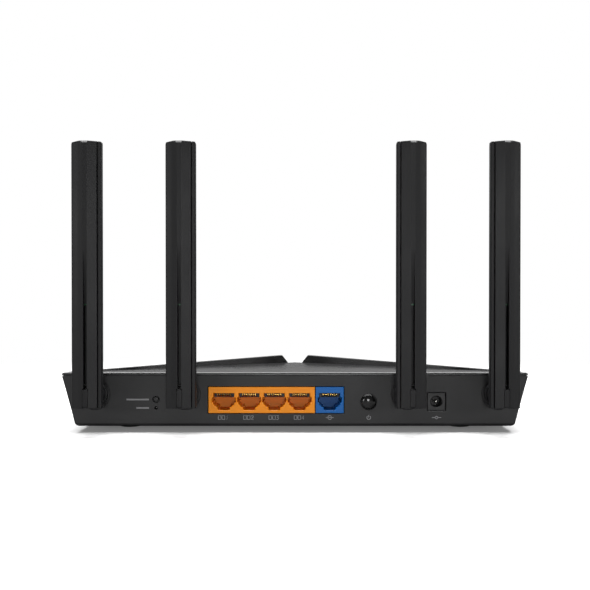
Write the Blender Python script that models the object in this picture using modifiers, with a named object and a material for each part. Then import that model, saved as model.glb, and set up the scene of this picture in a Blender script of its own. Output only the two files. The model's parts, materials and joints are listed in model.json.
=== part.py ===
"""A desktop wireless router with four folding antennas, as the separate pieces it comes apart into.

Metres, +Z up. It stands on its feet at z = 0, with the socket panel facing -Y, and the origin is under
the middle of everything, antennas included. Every piece is one object in the collection "router"; the
shapes that cut them are in "router_cutters". An antenna hangs from two empties, one on the axis it
swivels about and one on the pin it folds about.
"""

import math

import bmesh
import bpy
from mathutils import Vector

MM = 0.001
GAP = 0.3 * MM  # between pieces that touch

# Case
BODY_WIDTH = 260.2 * MM
BODY_DEPTH = 135.0 * MM
CASE_BOTTOM = 3.4 * MM
SEAM_Z = 31.7 * MM
COVER_TOP = 33.6 * MM
WING_PEAK = 38.6 * MM
WALL = 2.0 * MM
BOTTOM_ROUND = 2.0 * MM
SIDE_DRAFT = 0.27
FRONT_DRAFT = 0.45
REAR_CORNER = 1.2 * MM
FRONT_CORNER = 9.0 * MM

# Antennas
ANTENNA_X = (-111.7 * MM, -61.3 * MM, 62.5 * MM, 112.8 * MM)
PIVOT_Z = 21.3 * MM
PIVOT_BEHIND = 16.5 * MM
TONGUE_REACH = 4.6 * MM  # behind the pivot, flush with the ridge of the blade
TONGUE_HIGH = 5.1 * MM
NOTCH_HIGH = 6.9 * MM  # the tongue's corner swings under this as the blade folds
TONGUE_WIDTH = 2.8 * MM
TONGUE_OFFSET = 0.7 * MM  # outboard of the blade's middle
BLADE_LOW = -5.3 * MM  # from the pivot
BLADE_HIGH = 138.2 * MM

REAR_Y = -(BODY_DEPTH - PIVOT_BEHIND - TONGUE_REACH) / 2
FRONT_Y = REAR_Y + BODY_DEPTH
CROSS_Y = REAR_Y + 68.0 * MM  # the four facets of the top meet here
CROSS_SLOPE = 0.529  # how the creases between them run to the corners, in plan
SIDE_FALL = 0.098  # the side facets fall this much towards the front, and the front one twice as much
COVER_BOTTOM = SEAM_Z + GAP
WING_EDGE = COVER_TOP + 0.3 * MM
WING_INNER = 4.2 * MM  # its point, from the middle
WING_PEAK_X = 8.0 * MM
POCKET = COVER_TOP - 1.2 * MM  # the floor of the shallow pockets that the wings sit in

# Board and sockets
BOARD_TOP = 10.5 * MM
BOARD_THICK = 1.6 * MM
SOCKET_LOW = 10.8 * MM
SOCKET_HIGH = 25.4 * MM
SOCKET_DEPTH = 15.0 * MM
LAN_X = (-48.3 * MM, 11.1 * MM)
WAN_X = (11.5 * MM, 27.2 * MM)
PORT_PITCH = 14.1 * MM
LAN_PORTS = [LAN_X[0] + 8.55 * MM + i * PORT_PITCH for i in range(4)]
WAN_PORTS = [sum(WAN_X) / 2]
POWER_BUTTON = (41.1 * MM, 17.1 * MM)
JACK = (78.9 * MM, 17.1 * MM)
WPS_BUTTON = (-77.4 * MM, 18.4 * MM)
RESET_BUTTON = (-77.4 * MM, 13.7 * MM)

# Feet, screws and the holes to hang it by
FOOT_PLACES = [(x, y) for x in (-96 * MM, 96 * MM) for y in (REAR_Y + 26 * MM, REAR_Y + 104 * MM)]
FOOT_NAMES = ("rear_left_foot", "front_left_foot", "rear_right_foot", "front_right_foot")
FOOT_RADIUS = 6.5 * MM
FOOT_RECESS = 0.9 * MM
SCREW_PLACES = [(x, y) for x in (-113 * MM, 113 * MM) for y in (REAR_Y + 22 * MM, REAR_Y + 110 * MM)]
BOARD_SCREW_PLACES = [(-96 * MM, REAR_Y + 80 * MM), (96 * MM, REAR_Y + 80 * MM)]
SCREW_RADIUS = 1.3 * MM
POST_TOP = 14 * MM  # where the posts of the case and of the cover meet
KEYHOLES_X = (-60 * MM, 60 * MM)

# Colours as (r, g, b), roughness, metallic
FINISHES = {
    "case_plastic": ((0.030, 0.030, 0.031), 0.55, 0.0),
    "wing_plastic": ((0.022, 0.022, 0.023), 0.45, 0.0),
    "antenna_plastic": ((0.032, 0.032, 0.033), 0.5, 0.0),
    "orange_plastic": ((0.85, 0.33, 0.03), 0.4, 0.0),
    "blue_plastic": ((0.03, 0.19, 0.52), 0.4, 0.0),
    "gold_plate": ((0.80, 0.55, 0.22), 0.3, 1.0),
    "steel": ((0.55, 0.55, 0.56), 0.35, 1.0),
    "tin_plate": ((0.62, 0.62, 0.60), 0.4, 1.0),
    "aluminium": ((0.60, 0.61, 0.62), 0.4, 1.0),
    "board_green": ((0.02, 0.14, 0.06), 0.45, 0.0),
    "black_epoxy": ((0.02, 0.02, 0.02), 0.6, 0.0),
    "rubber": ((0.02, 0.02, 0.02), 0.85, 0.0),
    "gloss_black": ((0.012, 0.012, 0.013), 0.15, 0.0),
    "light_guide": ((0.75, 0.78, 0.80), 0.25, 0.0),
    "cable_jacket": ((0.05, 0.05, 0.05), 0.5, 0.0),
}


def clear_scene():
    for obj in list(bpy.data.objects):
        bpy.data.objects.remove(obj, do_unlink=True)


def collection(name):
    made = bpy.data.collections.new(name)
    bpy.context.scene.collection.children.link(made)
    return made


def finish(name):
    """The material of this name, made on first use."""
    if name in bpy.data.materials:
        return bpy.data.materials[name]
    colour, roughness, metallic = FINISHES[name]
    made = bpy.data.materials.new(name)
    made.use_nodes = True
    shader = made.node_tree.nodes["Principled BSDF"]
    shader.inputs["Base Color"].default_value = (*colour, 1.0)
    shader.inputs["Roughness"].default_value = roughness
    shader.inputs["Metallic"].default_value = metallic
    made.diffuse_color = (*colour, 1.0)
    return made


def place(name, bm, look, parent=None):
    """Makes an object of this mesh, as a piece with this finish, or as a cutter when look is None."""
    bm.normal_update()
    bmesh.ops.recalc_face_normals(bm, faces=bm.faces)
    mesh = bpy.data.meshes.new(name)
    bm.to_mesh(mesh)
    bm.free()
    obj = bpy.data.objects.new(name, mesh)
    obj.parent = parent
    if look is None:
        CUTTERS.objects.link(obj)
        obj.hide_render = True
        obj.display_type = "WIRE"
    else:
        PIECES.objects.link(obj)
        mesh.materials.append(finish(look))
        mesh.shade_smooth()
        mesh.set_sharp_from_angle(angle=math.radians(35))
    return obj


def combine(obj, operation, name, bm, parent=None):
    """Cuts this mesh from the piece, or joins it on."""
    cutter = place(name, bm, None, parent)
    step = obj.modifiers.new(name, "BOOLEAN")
    step.operation = operation
    step.solver = "EXACT"
    step.object = cutter


def cut(obj, name, bm, parent=None):
    combine(obj, "DIFFERENCE", name, bm, parent)


def join(obj, name, bm, parent=None):
    combine(obj, "UNION", name, bm, parent)


# Meshes


def block(low, high, bevel=0.0, segments=2):
    """A box between two corners, with its edges rounded."""
    bm = bmesh.new()
    bmesh.ops.create_cube(bm, size=1.0)
    low, high = Vector(low), Vector(high)
    size = high - low
    for v in bm.verts:
        v.co = Vector(a * b for a, b in zip(v.co, size)) + (low + high) / 2
    if bevel:
        bmesh.ops.bevel(bm, geom=bm.edges[:], offset=bevel, segments=segments, affect="EDGES", profile=0.5)
    return bm


def rod(start, end, radius, sides=24, end_radius=None):
    """A cylinder or cone between two points."""
    start, end = Vector(start), Vector(end)
    along = end - start
    bm = bmesh.new()
    bmesh.ops.create_cone(
        bm,
        cap_ends=True,
        segments=sides,
        radius1=radius,
        radius2=radius if end_radius is None else end_radius,
        depth=along.length,
    )
    turn = Vector((0, 0, 1)).rotation_difference(along)
    for v in bm.verts:
        v.co = turn @ v.co + (start + end) / 2
    return bm


def prism(outline, axis, low, high):
    """A flat outline extruded along an axis. Its two numbers are the other axes, in X, Y, Z order."""
    others = [k for k in range(3) if k != axis]
    bm = bmesh.new()
    corners = []
    for point in outline:
        place_at = [0.0, 0.0, 0.0]
        place_at[others[0]], place_at[others[1]] = point
        place_at[axis] = low
        corners.append(bm.verts.new(place_at))
    face = bm.faces.new(corners)
    sides = bmesh.ops.extrude_face_region(bm, geom=[face])
    moved = [v for v in sides["geom"] if isinstance(v, bmesh.types.BMVert)]
    step = [0.0, 0.0, 0.0]
    step[axis] = high - low
    bmesh.ops.translate(bm, verts=moved, vec=step)
    bmesh.ops.recalc_face_normals(bm, faces=bm.faces)
    return bm


def arc(centre, radius, start, end, steps):
    """Points on an arc, with angles in degrees."""
    angles = [math.radians(start + (end - start) * i / steps) for i in range(steps + 1)]
    return [(centre[0] + radius * math.cos(a), centre[1] + radius * math.sin(a)) for a in angles]


def gathered(parts):
    """Several meshes as one, for cutters that cut in many places."""
    whole = bmesh.new()
    for part in parts:
        mesh = bpy.data.meshes.new("part")
        part.to_mesh(mesh)
        part.free()
        whole.from_mesh(mesh)
        bpy.data.meshes.remove(mesh)
    return whole


def slot(centre, length, width, low, high, along_y=True):
    """A round-ended slot through a level wall."""
    x, y = centre
    run = (length - width) / 2
    if along_y:
        outline = arc((x, y + run), width / 2, 0, 180, 3) + arc((x, y - run), width / 2, 180, 360, 3)
    else:
        outline = arc((x + run, y), width / 2, -90, 90, 3) + arc((x - run, y), width / 2, 90, 270, 3)
    return prism(outline, 2, low, high)


def turned(name, profile, look, parent, steps=24):
    """A turned piece. The profile is (radius, height), from the top of its axis down its outer side."""
    bm = bmesh.new()
    points = [bm.verts.new((r, 0.0, z)) for r, z in profile]
    for a, b in zip(points, points[1:]):
        bm.edges.new((a, b))
    obj = place(name, bm, look, parent)
    screw = obj.modifiers.new("turn", "SCREW")
    screw.steps = steps
    screw.render_steps = steps
    screw.use_merge_vertices = True
    screw.merge_threshold = 0.01 * MM
    return obj


# The form of the case


def half_width(z):
    return BODY_WIDTH / 2 - SIDE_DRAFT * (SEAM_Z - z)


def front_at(z):
    return FRONT_Y - FRONT_DRAFT * (SEAM_Z - z)


def body_form(low_z, high_z, inset, drafted=True):
    """The case's outer form between two heights, pulled in by inset: drafted, or upright."""
    bm = bmesh.new()
    bmesh.ops.create_cube(bm, size=2.0)
    for v in bm.verts:
        z = high_z if v.co.z > 0 else low_z
        level = z if drafted else SEAM_Z
        x = math.copysign(half_width(level) - inset, v.co.x)
        y = front_at(level) - inset if v.co.y > 0 else REAR_Y + inset
        v.co = (x, y, z)
    for at_rear, radius in ((True, REAR_CORNER), (False, FRONT_CORNER)):
        edges = [
            e
            for e in bm.edges
            if abs(e.verts[0].co.z - e.verts[1].co.z) > (high_z - low_z) / 2
            and (e.verts[0].co.y < 0) == at_rear
            and (e.verts[1].co.y < 0) == at_rear
        ]
        rounding = max(radius - inset, 0.6 * MM)
        bmesh.ops.bevel(bm, geom=edges, offset=rounding, segments=4, affect="EDGES", profile=0.5)
    return bm


def round_level(bm, z, offset, segments):
    """Rounds the edges that lie at this height."""
    edges = [e for e in bm.edges if all(abs(v.co.z - z) < 1e-6 for v in e.verts)]
    bmesh.ops.bevel(bm, geom=edges, offset=offset, segments=segments, affect="EDGES", profile=0.5)


def top_fall(x, y):
    """How far the top has fallen here. The rear facet is level, and the other three slope."""
    ahead = y - CROSS_Y
    return SIDE_FALL * max(0.0, ahead + CROSS_SLOPE * abs(x), 2 * ahead)


def fold_top(bm, fixed_z=None):
    """Lets a mesh follow the facets of the top: all of it, or less and less down to fixed_z."""
    for way in (-1, 1):
        everything = bm.verts[:] + bm.edges[:] + bm.faces[:]
        across = (way * CROSS_SLOPE, -1, 0)
        bmesh.ops.bisect_plane(bm, geom=everything, plane_co=(0, CROSS_Y, 0), plane_no=across, dist=1e-7)
    for v in bm.verts:
        share = 1.0 if fixed_z is None else max(0.0, (v.co.z - fixed_z) / (SEAM_Z - fixed_z))
        v.co.z -= top_fall(v.co.x, v.co.y) * share
    return bm


def slope_top(bm, point, normal):
    """Cuts off what stands above a plane, and closes the cut."""
    everything = bm.verts[:] + bm.edges[:] + bm.faces[:]
    done = bmesh.ops.bisect_plane(
        bm, geom=everything, plane_co=point, plane_no=normal, dist=1e-7, clear_outer=True
    )
    rim = [e for e in done["geom_cut"] if isinstance(e, bmesh.types.BMEdge)]
    bmesh.ops.contextual_create(bm, geom=rim)
    return bm


LIGHTS = 6
LIGHT_Y = REAR_Y + 112 * MM
LIGHT_TOP = COVER_TOP - top_fall(0.0, LIGHT_Y)


# Case pieces


def vent_slots(low, high):
    """Cooling slots in two banks, through a level wall."""
    parts = []
    for side in (-1, 1):
        for i in range(11):
            x = side * (14 + 5.6 * i) * MM
            parts.append(slot((x, REAR_Y + 62 * MM), 32 * MM, 2.4 * MM, low, high))
    return gathered(parts)


def keyhole(x, low, high):
    """A hole that a screw head passes, and the narrow slot above it that the head hooks behind."""
    y = REAR_Y + 92 * MM
    head, neck = 3.8 * MM, 2.0 * MM
    meet = math.degrees(math.asin(neck / head))
    outline = arc((x, y), head, 90 + meet, 450 - meet, 12) + arc((x, y + 9 * MM), neck, 0, 180, 4)
    return prism(outline, 2, low, high)


def make_bottom_case():
    outer = body_form(CASE_BOTTOM, SEAM_Z, 0.0)
    round_level(outer, CASE_BOTTOM, BOTTOM_ROUND, 3)
    case = place("bottom_case", fold_top(outer, CASE_BOTTOM), "case_plastic")
    floor = CASE_BOTTOM + WALL
    cut(case, "case_hollow", fold_top(body_form(floor, SEAM_Z + 9 * MM, WALL), floor))
    post_foot = floor - 1 * MM
    posts = [rod((x, y, post_foot), (x, y, POST_TOP), 4.4 * MM, 16) for x, y in SCREW_PLACES]
    board_low = BOARD_TOP - BOARD_THICK - GAP
    posts += [rod((x, y, post_foot), (x, y, board_low), 3.2 * MM, 16) for x, y in BOARD_SCREW_PLACES]
    join(case, "case_posts", gathered(posts))

    below = CASE_BOTTOM - 2 * MM
    heads = [rod((x, y, below), (x, y, CASE_BOTTOM + 3 * MM), 3.2 * MM, 16) for x, y in SCREW_PLACES]
    bores = [rod((x, y, CASE_BOTTOM), (x, y, 16 * MM), 1.7 * MM, 12) for x, y in SCREW_PLACES]
    bores += [rod((x, y, floor + MM), (x, y, 12 * MM), 1.7 * MM, 12) for x, y in BOARD_SCREW_PLACES]
    cut(case, "screw_heads", gathered(heads))
    cut(case, "screw_bores", gathered(bores))
    recess = CASE_BOTTOM + FOOT_RECESS
    feet = [rod((x, y, below), (x, y, recess), FOOT_RADIUS + GAP, 24) for x, y in FOOT_PLACES]
    cut(case, "foot_recesses", gathered(feet))
    top = floor + 2 * MM
    cut(case, "floor_vents", vent_slots(below, top))
    cut(case, "keyholes", gathered([keyhole(x, below, top) for x in KEYHOLES_X]))

    before, behind = REAR_Y - 3 * MM, REAR_Y + WALL + 1 * MM
    window_low, window_high = SOCKET_LOW - GAP, SOCKET_HIGH + GAP
    window = block((LAN_X[0] - GAP, before, window_low), (WAN_X[1] + GAP, behind, window_high))
    square = block(
        (JACK[0] - 5.3 * MM, before, JACK[1] - 5.3 * MM), (JACK[0] + 5.3 * MM, behind, JACK[1] + 5.3 * MM)
    )
    holes = [window, square]
    for (x, z), radius in ((POWER_BUTTON, 4.35 * MM), (WPS_BUTTON, 1.9 * MM), (RESET_BUTTON, 0.95 * MM)):
        holes.append(rod((x, before, z), (x, behind, z), radius, 20))
    holes += [rod((x, before, PIVOT_Z), (x, behind, PIVOT_Z), 5.4 * MM, 24) for x in ANTENNA_X]
    cut(case, "panel_holes", gathered(holes))
    dishes = [rod((x, before, PIVOT_Z), (x, REAR_Y + 0.6 * MM, PIVOT_Z), 8.5 * MM, 24) for x in ANTENNA_X]
    cut(case, "antenna_dishes", gathered(dishes))


def wing_outline(side, inset):
    """A side wing in plan: broad at the case's side, and running to a point between two creases."""
    inner = WING_INNER + inset
    outer = BODY_WIDTH / 2 - 2.6 * MM - inset
    rear = REAR_Y + 2.4 * MM + inset
    front = REAR_Y + 132.0 * MM - inset
    spare = 1.0 * MM + inset * math.hypot(1, CROSS_SLOPE)  # from the crease, along Y
    half_point = max(CROSS_SLOPE * inner - spare, 0.4 * MM)
    points = [
        (outer, rear),
        ((CROSS_Y + spare - rear) / CROSS_SLOPE, rear),
        (inner, CROSS_Y - half_point),
        (inner, CROSS_Y + half_point),
        ((front + spare - CROSS_Y) / CROSS_SLOPE, front),
        (outer, front),
    ]
    return [(side * x, y) for x, y in points]


def wing_form(side, inset, low, drop=0.0):
    """A wing's solid: its top rises from its outer edge to its peak near the middle, then ends steeply."""
    bm = prism(wing_outline(side, inset), 2, low, WING_PEAK + 6 * MM)
    outer_edge = Vector((side * 127.5 * MM, 0, WING_EDGE - drop))
    rise = (WING_PEAK - WING_EDGE) / (127.5 * MM - WING_PEAK_X)
    slope_top(bm, outer_edge, Vector((side * rise, 0, 1)).normalized())
    inner_edge = Vector((side * (WING_INNER + inset), 0, COVER_TOP))
    slope_top(bm, inner_edge, Vector((-side * 1.0, 0, 0.8)).normalized())
    return fold_top(bm)


def make_top_cover():
    rim = body_form(COVER_BOTTOM, COVER_TOP, 0.0, drafted=False)
    round_level(rim, COVER_TOP, 1.2 * MM, 3)
    cover = place("top_cover", fold_top(rim), "case_plastic")
    lip = WALL + 2.1 * MM
    lip_low = SEAM_Z - 1.7 * MM
    plate_low = COVER_TOP - 2.4 * MM
    join(cover, "cover_lip", fold_top(body_form(lip_low, COVER_TOP - 0.4 * MM, lip, drafted=False)))
    hollow = body_form(lip_low - 3 * MM, plate_low, lip + 1.6 * MM, drafted=False)
    cut(cover, "cover_hollow", fold_top(hollow))
    bosses = []
    pilots = []
    for x, y in SCREW_PLACES:
        high = plate_low + 0.8 * MM - top_fall(x, y)
        bosses.append(rod((x, y, POST_TOP + GAP), (x, y, high), 3.8 * MM, 16))
        pilots.append(rod((x, y, POST_TOP - 2 * MM), (x, y, 19.5 * MM), SCREW_RADIUS + GAP, 12))
    join(cover, "cover_bosses", gathered(bosses))
    cut(cover, "cover_pilots", gathered(pilots))
    for side, name in ((-1, "left"), (1, "right")):
        shape = prism(wing_outline(side, -GAP), 2, POCKET, COVER_TOP + 8 * MM)
        cut(cover, name + "_pocket", fold_top(shape))
        x0, x1 = sorted((side * 20 * MM, side * 74 * MM))
        well = block((x0, REAR_Y + 57 * MM, POCKET - 4 * MM), (x1, REAR_Y + 75 * MM, POCKET + 2 * MM))
        cut(cover, name + "_air_well", fold_top(well))
    holes = [light_slot(i, LIGHT_TOP - 5 * MM, LIGHT_TOP + 3 * MM, GAP) for i in range(LIGHTS)]
    cut(cover, "light_holes", gathered(holes))


def light_slot(i, low, high, spare):
    """One of the row of lights in the sloping front of the cover."""
    x = (i - (LIGHTS - 1) / 2) * 7.0 * MM
    return slot((x, LIGHT_Y), 4.0 * MM + 2 * spare, 1.4 * MM + 2 * spare, low, high, along_y=False)


def make_light_pipe():
    high = LIGHT_TOP - 3.4 * MM  # under the cover's plate
    low = high - 3.2 * MM
    bar = block((-22 * MM, LIGHT_Y - 3 * MM, low), (22 * MM, LIGHT_Y + 3 * MM, high), 0.4 * MM, 1)
    pipe = place("light_pipe", bar, "light_guide")
    lenses = [light_slot(i, low + 2 * MM, LIGHT_TOP - 0.2 * MM, 0.0) for i in range(LIGHTS)]
    join(pipe, "pipe_lenses", gathered(lenses))


def make_wing(side, name):
    low = POCKET + GAP
    wing = place(name, wing_form(side, 0.0, low), "wing_plastic")
    cut(wing, name + "_hollow", wing_form(side, 2.0 * MM, low - 2 * MM, 1.6 * MM))
    slots = []
    for i in range(9):
        centre = (side * (24 + 5.6 * i) * MM, REAR_Y + 66 * MM)
        slots.append(slot(centre, 15 * MM, 2.4 * MM, low - 10 * MM, WING_PEAK + 4 * MM))
    cut(wing, name + "_vents", gathered(slots))


# Board and what stands on it


def board_block(name, look, centre, size, bevel=0.0, segments=1):
    """A plain component standing on the board."""
    x, y = centre
    w, d, h = size
    low = BOARD_TOP + GAP
    bm = block((x - w / 2, y - d / 2, low), (x + w / 2, y + d / 2, low + h), bevel, segments)
    return place(name, bm, look)


def make_board():
    low = (-104 * MM, REAR_Y + 3.2 * MM, BOARD_TOP - BOARD_THICK)
    high = (104 * MM, REAR_Y + 90 * MM, BOARD_TOP)
    board = place("main_board", block(low, high), "board_green")
    under, over = BOARD_TOP - 4 * MM, BOARD_TOP + 2 * MM
    holes = [rod((x, y, under), (x, y, over), 1.7 * MM, 16) for x, y in BOARD_SCREW_PLACES]
    cut(board, "board_holes", gathered(holes))


def make_shield(name, x, width):
    """A pressed can over a radio, open underneath, with a row of holes for the heat."""
    y0, y1 = REAR_Y + 34 * MM, REAR_Y + 62 * MM
    low, high = BOARD_TOP + GAP, BOARD_TOP + 4.2 * MM
    can = block((x - width / 2, y0, low), (x + width / 2, y1, high), 0.6 * MM, 1)
    shield = place(name, can, "tin_plate")
    t = 0.6 * MM
    inside = block((x - width / 2 + t, y0 + t, low - 2 * MM), (x + width / 2 - t, y1 - t, high - t))
    cut(shield, name + "_hollow", inside)
    holes = []
    for i in range(4):
        hx = x + (i - 1.5) * width / 5
        holes.append(rod((hx, y0 + 8 * MM, low), (hx, y0 + 8 * MM, high + 2 * MM), 1.2 * MM, 8))
        holes.append(rod((hx, y1 - 8 * MM, low), (hx, y1 - 8 * MM, high + 2 * MM), 1.2 * MM, 8))
    cut(shield, name + "_holes", gathered(holes))


def make_heatsink():
    """An extruded heatsink over the processor: a base with upright fins."""
    fins, pitch, thick = 9, 4.0 * MM, 1.2 * MM
    base, top = 1.8 * MM, 9.0 * MM
    centre_y = REAR_Y + 50 * MM
    left = -(fins - 1) / 2 * pitch
    outline = [(left - thick / 2, 0.0), (-left + thick / 2, 0.0)]
    for i in reversed(range(fins)):
        x = left + i * pitch
        outline += [(x + thick / 2, top), (x - thick / 2, top)]
        if i:
            outline += [(x - thick / 2, base), (x - pitch + thick / 2, base)]
    low = BOARD_TOP + 2.2 * MM
    points = [(x, low + z) for x, z in outline]
    place("heatsink", prism(points, 1, centre_y - 17 * MM, centre_y + 17 * MM), "aluminium")


def make_components():
    make_board()
    make_shield("left_radio_shield", -54 * MM, 44 * MM)
    make_shield("right_radio_shield", 54 * MM, 44 * MM)
    board_block("processor", "black_epoxy", (0.0, REAR_Y + 50 * MM), (17 * MM, 17 * MM, 1.6 * MM))
    make_heatsink()
    board_block("memory_chip", "black_epoxy", (-8 * MM, REAR_Y + 76 * MM), (14 * MM, 9 * MM, 1.2 * MM))
    board_block(
        "line_transformer", "black_epoxy", (-18 * MM, REAR_Y + 25 * MM), (34 * MM, 9 * MM, 5 * MM), 0.5 * MM
    )
    board_block("power_inductor", "black_epoxy", (62 * MM, REAR_Y + 24 * MM), (9 * MM, 9 * MM, 4 * MM), MM)
    x, y, low = 92 * MM, REAR_Y + 50 * MM, BOARD_TOP + GAP
    place("capacitor", rod((x, y, low), (x, y, low + 11 * MM), 4 * MM, 24), "aluminium")


# Sockets, buttons and jack


def port_outline(x):
    """A network socket's mouth in X and Z: contacts at the top, and the latch's notch at the bottom."""
    half = [
        (2.8, 12.4),
        (3.4, 12.9),
        (3.4, 14.0),
        (4.9, 14.5),
        (4.9, 15.1),
        (5.85, 15.5),
        (5.85, 16.7),
        (6.7, 16.7),
        (6.7, 19.6),
        (5.85, 19.6),
        (5.85, 21.9),
    ]
    right = [(x + a * MM, z * MM) for a, z in half]
    left = [(x - a * MM, z * MM) for a, z in reversed(half)]
    return right + left


def make_sockets(name, look, span, ports):
    """A moulded block of sockets, and the carrier behind it that holds the contact springs."""
    low = (span[0], REAR_Y, SOCKET_LOW)
    high = (span[1], REAR_Y + SOCKET_DEPTH, SOCKET_HIGH)
    housing = place(name + "_sockets", block(low, high, 0.3 * MM, 1), look)
    mouths = [prism(port_outline(x), 1, REAR_Y - 3 * MM, REAR_Y + SOCKET_DEPTH + 3 * MM) for x in ports]
    cut(housing, name + "_mouths", gathered(mouths))
    back = REAR_Y + SOCKET_DEPTH + GAP
    bar = block((span[0] + MM, back, 11.4 * MM), (span[1] - MM, back + 2.4 * MM, 24.6 * MM))
    carrier = place(name + "_contacts", bar, "gold_plate")
    springs = []
    for x in ports:
        for i in range(8):
            at = x + (i - 3.5) * 1.02 * MM
            spine = [
                (back + MM, 20.9 * MM),
                (REAR_Y + 2.2 * MM, 21.6 * MM),
                (REAR_Y + 2.2 * MM, 21.3 * MM),
                (back + MM, 20.3 * MM),
            ]
            springs.append(prism(spine, 0, at - 0.22 * MM, at + 0.22 * MM))
    join(carrier, name + "_springs", gathered(springs))


def make_jack():
    x, z = JACK
    front, back = REAR_Y + 0.7 * MM, REAR_Y + 14 * MM
    half = 5 * MM
    nose = block((x - half, front, z - half), (x + half, REAR_Y + 5 * MM, z + half), 0.3 * MM, 1)
    jack = place("power_jack", nose, "gloss_black")
    behind = REAR_Y + WALL + GAP
    join(jack, "jack_body", block((x - 4.8 * MM, behind, SOCKET_LOW), (x + 4.8 * MM, back, z + 4.8 * MM)))
    cut(jack, "jack_bore", rod((x, front - MM, z), (x, front + 9.5 * MM, z), 2.9 * MM, 28))
    socket = rod((x, front + 8 * MM, z), (x, front + 11 * MM, z), 0.9 * MM + GAP, 16)
    cut(jack, "pin_socket", socket)
    pin_end = front + 11 * MM - GAP
    place("jack_pin", rod((x, front + 1.4 * MM, z), (x, pin_end, z), 0.9 * MM, 16), "steel")


def push_button(name, at, radius, proud, crown, collar, stem, end):
    """A round button: a domed cap in its hole, a collar behind the wall, and a stem to its switch."""
    x, z = at
    hub = bpy.data.objects.new(name + "_travel", None)
    hub.location = (x, REAR_Y, z)
    hub.rotation_euler = (math.radians(90), 0, 0)
    PIECES.objects.link(hub)
    dome = [math.radians(a) for a in (0, 25, 50, 75, 90)]
    profile = [(radius * math.sin(a), proud - crown * (1 - math.cos(a))) for a in dome]
    behind = -WALL - GAP
    collar_end = behind - 0.9 * MM
    profile += [(radius, behind), (collar, behind), (collar, collar_end), (stem, collar_end)]
    profile += [(stem, -end), (0.0, -end)]
    return turned(name, profile, "gloss_black", hub, 20)


def make_buttons():
    push_button("power_button", POWER_BUTTON, 4.0 * MM, 1.1 * MM, 1.4 * MM, 4.9 * MM, 1.6 * MM, 11 * MM)
    push_button("wps_button", WPS_BUTTON, 1.4 * MM, 0.1 * MM, 0.3 * MM, 2.3 * MM, 1.0 * MM, 5.2 * MM)
    push_button("reset_button", RESET_BUTTON, 0.6 * MM, -0.9 * MM, 0.2 * MM, 1.5 * MM, 0.6 * MM, 5.2 * MM)
    x, z = POWER_BUTTON
    front = REAR_Y + 9.2 * MM
    body = block((x - 4.5 * MM, front, SOCKET_LOW), (x + 4.5 * MM, front + 12 * MM, z + 4.2 * MM))
    switch = place("power_switch", body, "black_epoxy")
    cut(switch, "switch_bore", rod((x, front - MM, z), (x, front + 5 * MM, z), 2.0 * MM, 20))
    for name, (x, z), low, high in (
        ("wps_switch", WPS_BUTTON, 16.4 * MM, 20.6 * MM),
        ("reset_switch", RESET_BUTTON, SOCKET_LOW, 16.0 * MM),
    ):
        front = REAR_Y + 6.1 * MM
        body = block((x - 2.6 * MM, front, low), (x + 2.6 * MM, front + 3.4 * MM, high), 0.3 * MM, 1)
        place(name, body, "black_epoxy")


# Antennas


def make_knuckle(name, swivel, fold, outward):
    """The barrel that turns in the rear wall, with the tongue that the blade folds on."""
    profile = [
        (0.0, 9.3),
        (5.6, 9.3),
        (6.2, 8.7),
        (6.2, 1.8),
        (6.9, 1.8),
        (7.4, 1.3),
        (7.4, -0.3),
        (5.0, -0.3),
        (5.0, -2.3),
        (6.4, -2.3),
        (6.4, -3.4),
        (5.0, -4.6),
        (4.4, -7.0),
        (0.0, -7.0),
    ]
    knuckle = turned(name, [(r * MM, a * MM) for r, a in profile], "antenna_plastic", swivel)
    knuckle.rotation_euler = (math.radians(90), 0, 0)
    root = PIVOT_BEHIND - 8.3 * MM
    corner = 1.2 * MM
    rear, high = corner - TONGUE_REACH, TONGUE_HIGH - corner
    outline = arc((rear, high), corner, 90, 180, 4) + arc((rear, -high), corner, 180, 270, 4)
    outline += [(root, -high), (root, high)]
    middle = outward * TONGUE_OFFSET
    tongue = prism(outline, 0, middle - TONGUE_WIDTH / 2, middle + TONGUE_WIDTH / 2)
    join(knuckle, name + "_tongue", tongue, fold)
    hole = rod((-8 * MM, 0, 0), (8 * MM, 0, 0), 1.25 * MM, 12)
    cut(knuckle, name + "_pin_hole", hole, fold)
    inner = PIVOT_BEHIND + 9 * MM
    lead_bore = rod((0, inner, 0), (0, PIVOT_BEHIND - 4 * MM, 0), 1.3 * MM, 12)
    cut(knuckle, name + "_lead_bore", lead_bore, fold)


# Sections of the two halves of a blade in mm: (u, v), where u runs inboard and v to the front
REAR_SECTION = (
    (-8.05, -3.2),
    (-5.0, -4.1),
    (-1.9, -4.5),
    (0.4, -4.5),
    (5.7, -3.9),
    (5.7, 0.0),
    (-7.7, 0.0),
    (-8.05, -1.0),
)
FRONT_SECTION = (
    (8.05, -2.1),
    (7.6, -2.9),
    (6.0, -2.9),
    (6.0, 0.3),
    (-7.6, 0.3),
    (-6.4, 4.2),
    (6.9, 4.2),
    (8.05, 1.6),
)


def blade_shell(name, section, fold, outward):
    """One half of a blade, extruded from its section, with its top edge bevelled."""
    points = [(-outward * u * MM, v * MM) for u, v in section]
    bm = prism(points, 2, BLADE_LOW, BLADE_HIGH)
    low_v = min(v for _, v in points)
    at_rear = low_v < -4 * MM
    tilt = Vector((0, -1, 1)) if at_rear else Vector((0, 1, 1))
    edge = Vector((0, low_v if at_rear else 4.2 * MM, BLADE_HIGH - 1.0 * MM))
    slope_top(bm, edge, tilt.normalized())
    return place(name, bm, "antenna_plastic", fold)


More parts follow.
